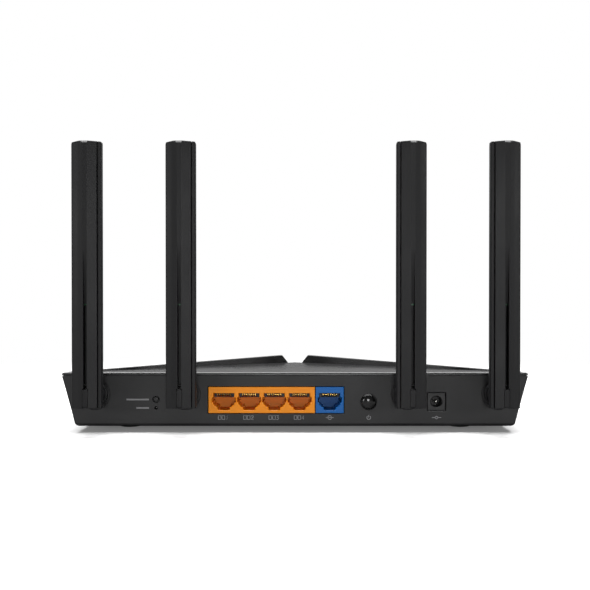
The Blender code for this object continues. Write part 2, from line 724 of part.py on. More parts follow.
def make_blade(name, fold, outward):
    rear = blade_shell(name + "_rear_shell", REAR_SECTION, fold, outward)
    front = blade_shell(name + "_front_shell", FRONT_SECTION, fold, outward)
    middle = outward * TONGUE_OFFSET
    half = TONGUE_WIDTH / 2 + GAP
    for shell in (rear, front):
        low = (middle - half, -8 * MM, BLADE_LOW - 2 * MM)
        notch = block(low, (middle + half, 8 * MM, NOTCH_HIGH))
        cut(shell, shell.name + "_notch", notch, fold)
        cut(shell, shell.name + "_pin_seat", rod((-5.0 * MM, 0, 0), (5.0 * MM, 0, 0), 1.3 * MM, 12), fold)
    groove_low, groove_high, depth = NOTCH_HIGH + 0.6 * MM, 82 * MM, 3.6 * MM
    floor = -4.5 * MM
    outline = [
        (floor - 2 * MM, groove_low),
        (floor + depth, groove_low),
        (floor + depth, 48 * MM),
        (floor, groove_high),
        (floor - 2 * MM, groove_high),
    ]
    groove_x = outward * 0.65 * MM
    groove = prism(outline, 0, groove_x - 0.95 * MM, groove_x + 0.95 * MM)
    cut(rear, rear.name + "_groove", groove, fold)
    trough = block((-4.9 * MM, -1.2 * MM, 12 * MM), (4.9 * MM, 2 * MM, 133 * MM))
    cut(rear, rear.name + "_trough", trough, fold)
    trough = block((-4.9 * MM, -2 * MM, 12 * MM), (4.9 * MM, 2.8 * MM, 133 * MM))
    cut(front, front.name + "_trough", trough, fold)
    strip = block((-3.6 * MM, 0.6 * MM, 50 * MM), (3.6 * MM, 1.4 * MM, 126 * MM))
    place(name + "_radiator", strip, "board_green", fold)
    place(name + "_pin", rod((-4.6 * MM, 0, 0), (4.6 * MM, 0, 0), 1.0 * MM, 12), "steel", fold)


def make_lead(name, x):
    """The thin cable from an antenna's barrel to its radio."""
    end_x = math.copysign(34 * MM if abs(x) < 80 * MM else 74 * MM, x)
    route = [
        (x, REAR_Y + 7.6 * MM, PIVOT_Z),
        (x, REAR_Y + 12 * MM, PIVOT_Z),
        (x + (end_x - x) * 0.12, REAR_Y + 20 * MM, PIVOT_Z - 0.6 * MM),
        (x + (end_x - x) * 0.45, REAR_Y + 27 * MM, PIVOT_Z - 3.4 * MM),
        (x + (end_x - x) * 0.85, REAR_Y + 32 * MM, 16.4 * MM),
        (end_x, REAR_Y + 38 * MM, 16.0 * MM),
    ]
    curve = bpy.data.curves.new(name, "CURVE")
    curve.dimensions = "3D"
    curve.bevel_depth = 0.6 * MM
    curve.bevel_resolution = 2
    curve.use_fill_caps = True
    spline = curve.splines.new("POLY")
    points = smooth_route(route, 3)
    spline.points.add(len(points) - 1)
    for spot, point in zip(spline.points, points):
        spot.co = (*point, 1.0)
    obj = bpy.data.objects.new(name, curve)
    curve.materials.append(finish("cable_jacket"))
    PIECES.objects.link(obj)


def smooth_route(route, steps):
    """Points along a smooth curve through the route's own points."""
    points = [Vector(p) for p in route]
    padded = [points[0] * 2 - points[1], *points, points[-1] * 2 - points[-2]]
    found = []
    for a, b, c, d in zip(padded, padded[1:], padded[2:], padded[3:]):
        for i in range(steps):
            t = i / steps
            bend = (2 * a - 5 * b + 4 * c - d) * t**2 + (3 * b - a - 3 * c + d) * t**3
            found.append(b + 0.5 * ((c - a) * t + bend))
    return [*found, points[-1]]


def make_antennas():
    for number, x in enumerate(ANTENNA_X, 1):
        name = f"antenna_{number}"
        outward = math.copysign(1.0, x)
        swivel = bpy.data.objects.new(name + "_swivel", None)
        swivel.location = (x, REAR_Y, PIVOT_Z)
        fold = bpy.data.objects.new(name + "_fold", None)
        fold.location = (0, -PIVOT_BEHIND, 0)
        fold.parent = swivel
        PIECES.objects.link(swivel)
        PIECES.objects.link(fold)
        make_knuckle(name + "_knuckle", swivel, fold, outward)
        make_blade(name, fold, outward)
        make_lead(name + "_lead", x)


# Feet and fasteners


def make_feet():
    for name, (x, y) in zip(FOOT_NAMES, FOOT_PLACES):
        high = CASE_BOTTOM + FOOT_RECESS - GAP
        r = FOOT_RADIUS
        profile = [(0, high), (r, high), (r, 0.8 * MM), (r - 0.8 * MM, 0), (0, 0)]
        foot = turned(name, profile, "rubber", None, 24)
        foot.location = (x, y, 0)


def make_screw(name, place_at, head_low, length):
    """A cross-head screw standing head down, or head up when its length is negative."""
    x, y = place_at
    way = math.copysign(1.0, length)
    head = rod((x, y, head_low), (x, y, head_low + way * 1.8 * MM), 2.7 * MM, 16)
    screw = place(name, head, "steel")
    shank = rod((x, y, head_low + way * 1.2 * MM), (x, y, head_low + length), SCREW_RADIUS, 12)
    join(screw, name + "_shank", shank)
    arms = [
        block((x - 1.5 * MM, y - 0.3 * MM, -0.9 * MM), (x + 1.5 * MM, y + 0.3 * MM, 0.9 * MM)),
        block((x - 0.3 * MM, y - 1.5 * MM, -0.9 * MM), (x + 0.3 * MM, y + 1.5 * MM, 0.9 * MM)),
    ]
    for i, arm in enumerate(arms):
        bmesh.ops.translate(arm, verts=arm.verts, vec=(0, 0, head_low))
        cut(screw, f"{name}_cross_{i}", arm)


def make_screws():
    for number, spot in enumerate(SCREW_PLACES, 1):
        make_screw(f"case_screw_{number}", spot, CASE_BOTTOM + 0.9 * MM, 14 * MM)
    for number, spot in enumerate(BOARD_SCREW_PLACES, 1):
        make_screw(f"board_screw_{number}", spot, BOARD_TOP + GAP + 1.8 * MM, -5.4 * MM)


clear_scene()
PIECES = collection("router")
CUTTERS = collection("router_cutters")
make_bottom_case()
make_top_cover()
make_wing(-1, "left_wing_panel")
make_wing(1, "right_wing_panel")
make_light_pipe()
make_components()
make_sockets("lan", "orange_plastic", LAN_X, LAN_PORTS)
make_sockets("wan", "blue_plastic", WAN_X, WAN_PORTS)
make_jack()
make_buttons()
make_antennas()
make_feet()
make_screws()
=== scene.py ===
import json
import math

import bmesh
import bpy
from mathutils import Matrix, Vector


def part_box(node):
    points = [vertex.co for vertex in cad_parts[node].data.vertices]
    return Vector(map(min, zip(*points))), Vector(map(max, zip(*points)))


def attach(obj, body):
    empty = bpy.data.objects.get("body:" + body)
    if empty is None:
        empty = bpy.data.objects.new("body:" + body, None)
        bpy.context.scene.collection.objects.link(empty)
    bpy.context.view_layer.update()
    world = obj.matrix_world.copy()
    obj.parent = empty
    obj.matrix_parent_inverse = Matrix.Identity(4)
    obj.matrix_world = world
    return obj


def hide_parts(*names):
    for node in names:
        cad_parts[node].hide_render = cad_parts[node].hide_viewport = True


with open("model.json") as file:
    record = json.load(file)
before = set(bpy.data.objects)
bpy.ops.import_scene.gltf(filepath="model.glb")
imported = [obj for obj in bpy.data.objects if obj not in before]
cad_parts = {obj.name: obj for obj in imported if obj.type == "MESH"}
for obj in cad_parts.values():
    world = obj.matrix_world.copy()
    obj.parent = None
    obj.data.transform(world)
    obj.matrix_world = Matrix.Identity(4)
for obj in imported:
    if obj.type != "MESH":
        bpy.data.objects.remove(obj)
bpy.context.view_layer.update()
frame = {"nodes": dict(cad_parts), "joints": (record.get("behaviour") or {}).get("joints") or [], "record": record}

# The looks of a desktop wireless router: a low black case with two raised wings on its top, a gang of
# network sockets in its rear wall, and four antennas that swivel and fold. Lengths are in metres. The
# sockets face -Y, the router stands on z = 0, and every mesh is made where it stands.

MM = 0.001
GAP = 0.3 * MM  # between pieces that touch

case_low, case_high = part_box("bottom_case")
HALF_WIDTH = case_high.x
REAR = case_low.y
FRONT = case_high.y
BOTTOM = case_low.z
SEAM = case_high.z
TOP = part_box("top_cover")[1].z
CROSS_Y = REAR + 68 * MM  # the four facets of the top meet here
CROSS_SLOPE = 0.529  # how the creases between them run to the corners, in plan
SIDE_FALL = 0.098  # the side facets fall this much towards the front, and the front one twice as much
SIDE_DRAFT = 0.27
FRONT_DRAFT = 0.45
REAR_ROUND = 0.9 * MM
FRONT_ROUND = 9 * MM
WALL = 2 * MM
FLOOR = BOTTOM + WALL
FOOT_ROUND = 2.0 * MM  # along the lower edge of the case
STEP = 0.6 * MM  # the rim steps up inside the cover, so no light passes the seam
POST_TOP = 14 * MM  # where the cover's bosses rest on the case's posts


# Outlines. An outline is a function of how far it is pushed out, and gives points that run anticlockwise.


def arc(centre, radius, start, end, steps):
    """Points on an arc, with angles in degrees."""
    angles = [math.radians(start + (end - start) * i / steps) for i in range(steps + 1)]
    return [(centre[0] + radius * math.cos(a), centre[1] + radius * math.sin(a)) for a in angles]


def circle(centre, radius, steps=40):
    return lambda grow: arc(centre, radius + grow, 0, 360 - 360 / steps, steps - 1)


def round_ended(centre, length, width, along_second=True, steps=6):
    """The outline of a slot with round ends, along the second axis or the first."""
    run = (length - width) / 2
    dx, dy = (0, run) if along_second else (run, 0)
    turn = 0 if along_second else -90

    def outline(grow):
        radius = width / 2 + grow
        far = arc((centre[0] + dx, centre[1] + dy), radius, turn, turn + 180, steps)
        return far + arc((centre[0] - dx, centre[1] - dy), radius, turn + 180, turn + 360, steps)

    return outline


def neighbours(points):
    points = [Vector(p) for p in points]
    return zip(points[-1:] + points[:-1], points, points[1:] + points[:1])


def pushed(points, grow):
    """A closed outline moved outwards, with its corners kept."""
    moved = []
    for before, here, after in neighbours(points):
        first = (here - before).normalized()
        second = (after - here).normalized()
        outward = Vector((first.y + second.y, -first.x - second.x))
        moved.append(here + outward * grow / (1 + first.dot(second)))
    return moved


def eased(points, reach, steps=3):
    """A closed outline with each corner turned into a curve that starts this far from it."""
    reaches = reach if isinstance(reach, list) else [reach] * len(points)
    smooth = []
    for (before, here, after), most in zip(neighbours(points), reaches):
        start = here + (before - here).normalized() * min(most, 0.45 * (before - here).length)
        end = here + (after - here).normalized() * min(most, 0.45 * (after - here).length)
        for i in range(steps + 1):
            t = i / steps
            smooth.append(start * (1 - t) ** 2 + here * 2 * t * (1 - t) + end * t**2)
    return smooth


def cornered(points, reach, steps=3):
    return lambda grow: eased(pushed(points, grow), reach, steps)


def rectangle(low, high, reach, steps=3):
    (x0, y0), (x1, y1) = low, high
    return cornered([(x0, y0), (x1, y0), (x1, y1), (x0, y1)], reach, steps)


# Meshes


def lofted(rings):
    """A closed skin over rings of matching points, flat at both ends."""
    bm = bmesh.new()
    loops = [[bm.verts.new(point) for point in ring] for ring in rings]
    for below, above in zip(loops, loops[1:]):
        for i, start in enumerate(below):
            j = (i + 1) % len(below)
            bm.faces.new((start, below[j], above[j], above[i]))
    bm.faces.new(list(reversed(loops[0])))
    bm.faces.new(loops[-1])
    bmesh.ops.recalc_face_normals(bm, faces=bm.faces)
    return bm


def stacked(outline, axis, stations):
    """A solid along an axis: each station is (place on the axis, how far the outline is pushed out)."""
    rings = []
    for level, grow in stations:
        ring = [list(point) for point in outline(grow)]
        for point in ring:
            point.insert(axis, level)
        rings.append(ring)
    return lofted(rings)


def curved_in(level, side, radius, steps=4):
    """Stations that round an edge: side is 1 where the solid ends at this level, and -1 where it starts."""
    angles = [math.radians(90 * i / steps) for i in range(steps + 1)]
    found = [(level - side * radius * (1 - math.sin(a)), -radius * (1 - math.cos(a))) for a in angles]
    return found if side > 0 else found[::-1]


def solid(outline, axis, low, high, radius, steps=4):
    """An outline between two levels, with the edges at both ends rounded."""
    return stacked(outline, axis, curved_in(low, -1, radius, steps) + curved_in(high, 1, radius, steps))


def opening(outline, axis, mouth, end, lip):
    """The cutter for a hole that starts at a surface, with its mouth's edge eased by lip."""
    way = math.copysign(1.0, end - mouth)
    stations = [(mouth - way * MM, lip), (mouth, lip)]
    for angle in (30, 60, 90):
        a = math.radians(angle)
        stations.append((mouth + way * lip * math.sin(a), lip * (1 - math.sin(a))))
    return stacked(outline, axis, stations + [(end, 0.0)])


def bored_through(outline, axis, low, high, lip):
    """The cutter for a hole through a wall, eased on both faces."""
    stations = [(low - MM, lip), (low, lip), (low + lip, 0.0)]
    stations += [(high - lip, 0.0), (high, lip), (high + MM, lip)]
    return stacked(outline, axis, stations)


def box(low, high, reach, axis=2, ends=None):
    """A block with its upright edges eased by reach, and its end edges rounded by ends."""
    sides = [k for k in range(3) if k != axis]
    outline = rectangle([low[k] for k in sides], [high[k] for k in sides], reach)
    return solid(outline, axis, low[axis], high[axis], reach if ends is None else ends, 3)


def tubes(paths, radius, sides=8):
    """Round wires along lists of points, each swept with its ends closed."""
    parts = []
    for path in paths:
        points = [Vector(p) for p in path]
        rings = []
        for i, point in enumerate(points):
            along = (points[min(i + 1, len(points) - 1)] - points[max(i - 1, 0)]).normalized()
            side = along.orthogonal().normalized() if abs(along.x) > 0.9 else Vector((1, 0, 0))
            side = (side - along * side.dot(along)).normalized()
            up = along.cross(side)
            spots = arc((0, 0), radius, 0, 360 - 360 / sides, sides - 1)
            rings.append([point + side * a + up * b for a, b in spots])
        parts.append(lofted(rings))
    return gathered(parts)


def gathered(parts):
    """Several meshes as one."""
    whole = bmesh.new()
    for part in parts:
        mesh = bpy.data.meshes.new("part")
        part.to_mesh(mesh)
        part.free()
        whole.from_mesh(mesh)
        bpy.data.meshes.remove(mesh)
    return whole


def as_object(name, bm):
    bm.normal_update()
    bmesh.ops.recalc_face_normals(bm, faces=bm.faces)
    mesh = bpy.data.meshes.new(name)
    bm.to_mesh(mesh)
    bm.free()
    made = bpy.data.objects.new(name, mesh)
    bpy.context.scene.collection.objects.link(made)
    return made


def worked(bm, *steps):
    """A mesh after each step, which is ("DIFFERENCE" or "UNION", another mesh)."""
    stock = as_object("stock", bm)
    tools = []
    for number, (operation, shape) in enumerate(steps):
        tool = as_object(f"tool_{number}", shape)
        step = stock.modifiers.new(tool.name, "BOOLEAN")
        step.operation = operation
        step.solver = "EXACT"
        step.object = tool
        tools.append(tool)
    result = bpy.data.meshes.new_from_object(stock.evaluated_get(bpy.context.evaluated_depsgraph_get()))
    done = bmesh.new()
    done.from_mesh(result)
    bpy.data.meshes.remove(result)
    for spent in [stock, *tools]:
        mesh = spent.data
        bpy.data.objects.remove(spent)
        bpy.data.meshes.remove(mesh)
    return done


def top_fall(x, y):
    """How far the top has fallen here. The rear facet is level, and the other three slope."""
    ahead = y - CROSS_Y
    return SIDE_FALL * max(0.0, ahead + CROSS_SLOPE * abs(x), 2 * ahead)


def split_at(bm, point, normal):
    everything = bm.verts[:] + bm.edges[:] + bm.faces[:]
    bmesh.ops.bisect_plane(bm, geom=everything, plane_co=point, plane_no=normal, dist=1e-7)


def folded(bm, share=lambda z: 1.0):
    """Lets a mesh follow the facets of the top, by a share that may change with height."""
    for way in (-1, 1):
        split_at(bm, (0, CROSS_Y, 0), (way * CROSS_SLOPE, -1, 0))
    for v in bm.verts:
        v.co.z -= top_fall(v.co.x, v.co.y) * share(v.co.z)
    return bm


# Finishes


def linear(code):
    """A colour from its sRGB hex code."""
    parts = [int(code[i : i + 2], 16) / 255 for i in (1, 3, 5)]
    return (*(c / 12.92 if c <= 0.04045 else ((c + 0.055) / 1.055) ** 2.4 for c in parts), 1.0)


def add_node(tree, kind, inputs, **settings):
    """Adds a node with its settings. An input is a number, a colour or another node's output."""
    made = tree.nodes.new(kind)
    for name, value in settings.items():
        setattr(made, name, value)
    for name, value in inputs.items():
        if isinstance(value, bpy.types.NodeSocket):
            tree.links.new(value, made.inputs[name])
        else:
            made.inputs[name].default_value = value
    return made


def new_finish(name):
    """An empty material, with its node tree and the position that its patterns are laid out on."""
    made = bpy.data.materials.new(name)
    made.use_nodes = True
    made.node_tree.nodes.clear()
    place = add_node(made.node_tree, "ShaderNodeTexCoord", {})
    return made, made.node_tree, place.outputs["Object"]


def noise(tree, place, size, detail):
    """Soft cloudy noise whose blotches are about this size across."""
    inputs = {"Vector": place, "Scale": 1 / size, "Detail": detail}
    return add_node(tree, "ShaderNodeTexNoise", inputs).outputs[0]


def blended(tree, share, dark, light):
    """A colour between two others."""
    return add_node(tree, "ShaderNodeMix", {"Factor": share, 6: dark, 7: light}, data_type="RGBA").outputs[2]


def ranged(tree, value, low, high, start=0.0, end=1.0):
    """A value between start and end, stretched over low to high."""
    limits = {"From Min": start, "From Max": end, "To Min": low, "To Max": high}
    return add_node(tree, "ShaderNodeMapRange", {"Value": value, **limits}).outputs[0]


def shaded(tree, inputs):
    shader = add_node(tree, "ShaderNodeBsdfPrincipled", inputs)
    add_node(tree, "ShaderNodeOutputMaterial", {"Surface": shader.outputs[0]})


def moulded(name, dark, light, grain, relief, roughness, ior=1.53, specular=0.5):
    """A plastic from a steel mould. The mould's texture is a fine grain, and the melt leaves the colour
    and the gloss slightly uneven over some centimetres."""
    made, tree, place = new_finish(name)
    flow = noise(tree, place, 28 * MM, 3.0)
    texture = noise(tree, place, grain, 2.0)
    both = add_node(tree, "ShaderNodeMath", {0: flow, 1: texture}, operation="MULTIPLY")
    bump = add_node(tree, "ShaderNodeBump", {"Height": texture, "Distance": relief, "Strength": 1.0})
    shaded(
        tree,
        {
            "Base Color": blended(tree, flow, linear(dark), linear(light)),
            "Roughness": ranged(tree, both.outputs[0], *roughness, 0.1, 0.4),
            "IOR": ior,
            "Specular IOR Level": specular,
            "Normal": bump.outputs[0],
        },
    )
    return made


def metal(name, dark, light, roughness, brushed=(1.0, 1.0, 1.0)):
    """A bare or plated metal. The lay of its grain is the way that it was drawn, rolled or brushed."""
    made, tree, place = new_finish(name)
    stretch = add_node(tree, "ShaderNodeMapping", {"Vector": place, "Scale": brushed})
    grain = noise(tree, stretch.outputs[0], 0.5 * MM, 4.0)
    bump = add_node(tree, "ShaderNodeBump", {"Height": grain, "Distance": 0.01 * MM})
    shaded(
        tree,
        {
            "Base Color": blended(tree, grain, linear(dark), linear(light)),
            "Metallic": 1.0,
            "Roughness": ranged(tree, grain, *roughness),
            "Normal": bump.outputs[0],
        },
    )
    return made


def solder_masked_board():
    """Glass-epoxy under green lacquer: copper tracks show through as lighter, slightly raised bands."""
    made, tree, place = new_finish("solder_masked_glass_epoxy")
    tracks = add_node(
        tree,
        "ShaderNodeTexBrick",
        {
            "Vector": place,
            "Color1": linear("#0d4a28"),
            "Color2": linear("#0f5530"),
            "Mortar": linear("#1d7a49"),
            "Scale": 1 / (16 * MM),
            "Mortar Size": 0.018,
        },
    )
    bump = add_node(tree, "ShaderNodeBump", {"Height": tracks.outputs["Fac"], "Distance": 0.04 * MM})
    shaded(
        tree,
        {
            "Base Color": tracks.outputs["Color"],
            "Roughness": 0.32,
            "IOR": 1.5,
            "Normal": bump.outputs[0],
        },
    )
    return made


def frosted_acrylic():
    """Clear acrylic with ground ends: light enters it, and its surface is a milky grey when it is off."""
    made, tree, place = new_finish("frosted_acrylic")
    frost = noise(tree, place, 0.4 * MM, 2.0)
    shaded(
        tree,
        {
            "Base Color": linear("#aeb4b8"),
            "Roughness": ranged(tree, frost, 0.25, 0.5),
            "IOR": 1.49,
            "Transmission Weight": 0.35,
        },
    )
    return made


# Acrylonitrile butadiene styrene, spark-eroded mould: a dark charcoal with a soft satin sheen. The real
# grain is about 0.1 mm, drawn at 0.5 mm so that it shows.
case_abs = moulded("spark_eroded_abs", "#141415", "#18181a", 0.5 * MM, 0.02 * MM, (0.46, 0.58))
# The cover's mould is smoother, and its rounded edge takes a bright line from the lamps above.
cover_abs = moulded("satin_cover_abs", "#161617", "#1a1a1b", 0.6 * MM, 0.006 * MM, (0.24, 0.34))
# The wings' mould is finer and blacker than the case's.
wing_abs = moulded("fine_grain_abs", "#111112", "#161617", 0.4 * MM, 0.015 * MM, (0.38, 0.50))
# The blades are moulded smoother but dull, so they catch a broad, soft light along their facets.
blade_abs = moulded("satin_abs", "#131314", "#18181a", 0.45 * MM, 0.012 * MM, (0.40, 0.50), specular=0.27)
# Polished tool: a deep black that mirrors the room.
polished_abs = moulded("polished_abs", "#0a0a0b", "#0d0d0e", 0.8 * MM, 0.001 * MM, (0.10, 0.18))
# Glass-filled polybutylene terephthalate: opaque saturated colour with a waxy gloss.
orange_pbt = moulded("orange_pbt", "#fc9208", "#ff9c16", 0.7 * MM, 0.006 * MM, (0.32, 0.44), specular=0.25)
blue_pbt = moulded("blue_pbt", "#085ca8", "#1068b6", 0.7 * MM, 0.006 * MM, (0.32, 0.44), specular=0.25)
# Black PBT for the inlet. The contact combs also take this black as painted shade, for the shadowed top of each
# socket's mouth.
black_pbt_and_painted_shade = moulded("black_pbt_and_painted_shade", "#101011", "#161617", 0.6 * MM, 0.006 * MM, (0.35, 0.5))
# Moulded epoxy over a chip: matt and faintly grainy.
chip_epoxy = moulded("transfer_moulded_epoxy", "#131314", "#1c1c1e", 0.35 * MM, 0.015 * MM, (0.55, 0.7))
# Silicone-rich rubber: nearly no sheen.
foot_rubber = moulded("moulded_rubber", "#0e0e0e", "#151515", 0.6 * MM, 0.03 * MM, (0.8, 0.95), 1.52)
# Extruded fluoropolymer jacket: thin, smooth and waxy.
lead_jacket = moulded("extruded_fep_jacket", "#161617", "#202022", 1.2 * MM, 0.004 * MM, (0.3, 0.4), 1.34)
# Print ink: a dry mid grey that reads clearly on the charcoal under it.
pad_print = moulded("pad_printed_ink", "#88888a", "#949496", 0.5 * MM, 0.002 * MM, (0.6, 0.7), 1.45)
gold_flash = metal("gold_flashed_bronze", "#c49640", "#e3bd6a", (0.18, 0.32), (1.0, 0.1, 1.0))
zinc_plate = metal("zinc_plated_steel", "#a3a5a8", "#c5c7ca", (0.25, 0.42))
tin_plate = metal("tin_plated_steel", "#b4b5b2", "#cfd0cc", (0.28, 0.45), (0.15, 1.0, 1.0))
extruded_aluminium = metal("extruded_aluminium", "#b0b3b6", "#cfd1d4", (0.30, 0.46), (1.0, 0.06, 1.0))
nickel_plate = metal("nickel_plated_brass", "#c9c6bf", "#e6e3dc", (0.12, 0.24))
board_mask = solder_masked_board()
acrylic = frosted_acrylic()


def piece(name, bm, body, finish, slot, *stands_for):
    """Makes one piece of the router, which moves with a body and may stand for CAD nodes."""
    made = as_object(name, bm)
    made.data.materials.append(finish)
    made.data.shade_smooth()
    made.data.set_sharp_from_angle(angle=math.radians(32))
    weights = made.modifiers.new("flat_faces_stay_flat", "WEIGHTED_NORMAL")
    weights.keep_sharp = True
    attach(made, body)
    if stands_for:
        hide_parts(*stands_for)
    return made


# Case


def case_ring(z, inset, upright=False):
    """The case's outline at a height, pulled in by inset. Its sides and front lean out towards the seam."""
    drop = 0.0 if upright else SEAM - z
    half = HALF_WIDTH - SIDE_DRAFT * drop - inset
    front = FRONT - FRONT_DRAFT * drop - inset
    rear = REAR + inset
    small = max(REAR_ROUND - inset, 0.6 * MM)
    large = max(FRONT_ROUND - inset, 0.6 * MM)
    points = arc((half - small, rear + small), small, -90, 0, 8)
    points += arc((half - large, front - large), large, 0, 90, 14)
    points += arc((large - half, front - large), large, 90, 180, 14)
    points += arc((small - half, rear + small), small, 180, 270, 8)
    return [(x, y, z) for x, y in points]


def case_share(z):
    """The share of the front's fall at a height: none at the floor, all of it at the seam."""
    return max(0.0, (z - BOTTOM) / (SEAM - BOTTOM))


def case_shell():
    """The lower case as an open tray, with its foot and its rim rounded."""
    section = [(z, -grow) for z, grow in curved_in(BOTTOM, -1, FOOT_ROUND, 7)]
    section += [(z, -grow) for z, grow in curved_in(SEAM, 1, 0.15 * MM, 3)]
    section += [(SEAM, 0.6 * MM), (SEAM + STEP, 0.7 * MM), (SEAM + STEP, WALL - 0.2 * MM)]
    section.append((SEAM - 0.2 * MM, WALL))
    section += [(FLOOR + MM, WALL), (FLOOR + 0.3 * MM, WALL + 0.3 * MM), (FLOOR, WALL + MM)]
    return folded(lofted([case_ring(z, inset) for z, inset in section]), case_share)


FOOT_NAMES = ("rear_left_foot", "front_left_foot", "rear_right_foot", "front_right_foot")
FEET = [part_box(name) for name in FOOT_NAMES]
CASE_SCREWS = [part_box(f"case_screw_{i}") for i in range(1, 5)]
BOARD_SCREWS = [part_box(f"board_screw_{i}") for i in range(1, 3)]
BOARD_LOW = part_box("main_board")[0]


def middle(low_high):
    low, high = low_high
    return (low + high) / 2


def case_posts():
    """The posts that the case screws and the board screws go into."""
    posts = []
    for spot in map(middle, CASE_SCREWS):
        posts.append(solid(circle((spot.x, spot.y), 4.4 * MM, 24), 2, FLOOR - MM, POST_TOP, 0.3 * MM, 2))
    for spot in map(middle, BOARD_SCREWS):
        top = BOARD_LOW.z - GAP
        posts.append(solid(circle((spot.x, spot.y), 3.2 * MM, 24), 2, FLOOR - MM, top, 0.3 * MM, 2))
    return gathered(posts)


def screw_ways():
    """The counterbores under the case screws."""
    ways = []
    for spot in map(middle, CASE_SCREWS):
        ways.append(opening(circle((spot.x, spot.y), 3.2 * MM), 2, BOTTOM, BOTTOM + 3 * MM, 0.3 * MM))
    return gathered(ways)


def screw_bores():
    """The bore of each case screw, and the pilot hole in each board post."""
    bores = []
    for spot in map(middle, CASE_SCREWS):
        bores.append(stacked(circle((spot.x, spot.y), 1.7 * MM, 20), 2, [(BOTTOM, 0), (16 * MM, 0)]))
    for spot in map(middle, BOARD_SCREWS):
        bores.append(stacked(circle((spot.x, spot.y), 1.7 * MM, 20), 2, [(FLOOR + MM, 0), (12 * MM, 0)]))
    return gathered(bores)


def floor_openings():
    """Two banks of cooling slots, the recesses of the feet and the two keyholes it hangs by."""
    cuts = []
    for side in (-1, 1):
        for i in range(11):
            slot = round_ended((side * (14 + 5.6 * i) * MM, REAR + 62 * MM), 32 * MM, 2.4 * MM)
            cuts.append(bored_through(slot, 2, BOTTOM, FLOOR, 0.35 * MM))
    for foot in FEET:
        spot = middle(foot)
        seat = circle((spot.x, spot.y), foot[1].x - spot.x + GAP)
        cuts.append(opening(seat, 2, BOTTOM, foot[1].z + GAP, 0.25 * MM))
    for x in (-60 * MM, 60 * MM):
        cuts.append(bored_through(keyhole((x, REAR + 92 * MM)), 2, BOTTOM, FLOOR, 0.4 * MM))
    return gathered(cuts)


def keyhole(centre):
    """A hole that a screw head passes, and the narrow slot that the head then hooks behind."""
    x, y = centre

    def outline(grow):
        head, neck = 3.8 * MM + grow, 2 * MM + grow
        meet = math.degrees(math.asin(neck / head))
        return arc((x, y), head, 90 + meet, 450 - meet, 24) + arc((x, y + 9 * MM), neck, 0, 180, 8)

    return outline


ANTENNAS = [j for j in frame["joints"] if j["name"].endswith("_swivel")]
PIVOT_Z = ANTENNAS[0]["pos_m"][2]
LAN_LOW, LAN_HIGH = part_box("lan_sockets")
WAN_LOW, WAN_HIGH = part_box("wan_sockets")
POWER_BUTTON = middle(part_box("power_button"))
WPS_BUTTON = middle(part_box("wps_button"))
RESET_BUTTON = middle(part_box("reset_button"))
JACK = middle(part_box("jack_pin"))
JACK_HALF = 5.14 * MM
OPENINGS = {o["name"]: o["box_m"] for o in frame["record"]["physics"]["openings"]}


def port_middle(name):
    """Where a network socket's plug goes in, along X."""
    low, high = OPENINGS[name]
    return (Vector(low) + Vector(high)).x / 2


LAN_PORTS = [port_middle(f"lan_port_{i}") for i in range(1, 5)]
WAN_PORT = port_middle("wan_port")


def panel_openings():
    """The rear wall's holes: the sockets' window, the inlet, three buttons and four antenna barrels."""
    inside = REAR + WALL + MM
    low = (LAN_LOW.x - GAP, LAN_LOW.z - GAP)
    high = (WAN_HIGH.x + GAP, LAN_HIGH.z + GAP)
    cuts = [opening(rectangle(low, high, 0.4 * MM), 1, REAR, inside, 0.15 * MM)]
    square = rectangle(
        (JACK.x - JACK_HALF, JACK.z - JACK_HALF), (JACK.x + JACK_HALF, JACK.z + JACK_HALF), 0.9 * MM
    )
    cuts.append(opening(square, 1, REAR, inside, 0.35 * MM))
    for spot, radius, lip in (
        (POWER_BUTTON, 4.35 * MM, 0.35 * MM),
        (WPS_BUTTON, 1.9 * MM, 0.2 * MM),
        (RESET_BUTTON, 0.95 * MM, 0.15 * MM),
    ):
        cuts.append(opening(circle((spot.x, spot.z), radius), 1, REAR, inside, lip))
    for joint in ANTENNAS:
        centre = (joint["pos_m"][0], PIVOT_Z)
        cuts.append(stacked(circle(centre, 5.4 * MM), 1, [(REAR - MM, 0), (inside, 0)]))
    return gathered(cuts)


def antenna_dishes():
    """The shallow round seat that each antenna's flange turns in."""
    seats = []
    for joint in ANTENNAS:
        seat = circle((joint["pos_m"][0], PIVOT_Z), 8.5 * MM, 56)
        seats.append(opening(seat, 1, REAR, REAR + 0.6 * MM, 0.25 * MM))
    return gathered(seats)


def make_bottom_case():
    """The lower case, with everything that is cut into its floor and rear wall."""
    mesh = worked(
        case_shell(),
        ("UNION", case_posts()),
        ("DIFFERENCE", screw_ways()),
        ("DIFFERENCE", screw_bores()),
        ("DIFFERENCE", floor_openings()),
        ("DIFFERENCE", panel_openings()),
        ("DIFFERENCE", antenna_dishes()),
    )
    piece("lower_case", mesh, "case", case_abs, "case_plastic", "bottom_case")


COVER_BOTTOM = SEAM + GAP
PLATE = TOP - 2.4 * MM  # the underside of the cover
POCKET = TOP - 1.2 * MM  # the wings sit in shallow pockets in the cover
LENS_Y = REAR + 112 * MM
LENS_COUNT = 6
LENS_PITCH = 7 * MM


def lens_outline(i):
    """One of the row of lights in the sloping front of the cover."""
    x = (i - (LENS_COUNT - 1) / 2) * LENS_PITCH
    return round_ended((x, LENS_Y), 4 * MM, 1.4 * MM, along_second=False)


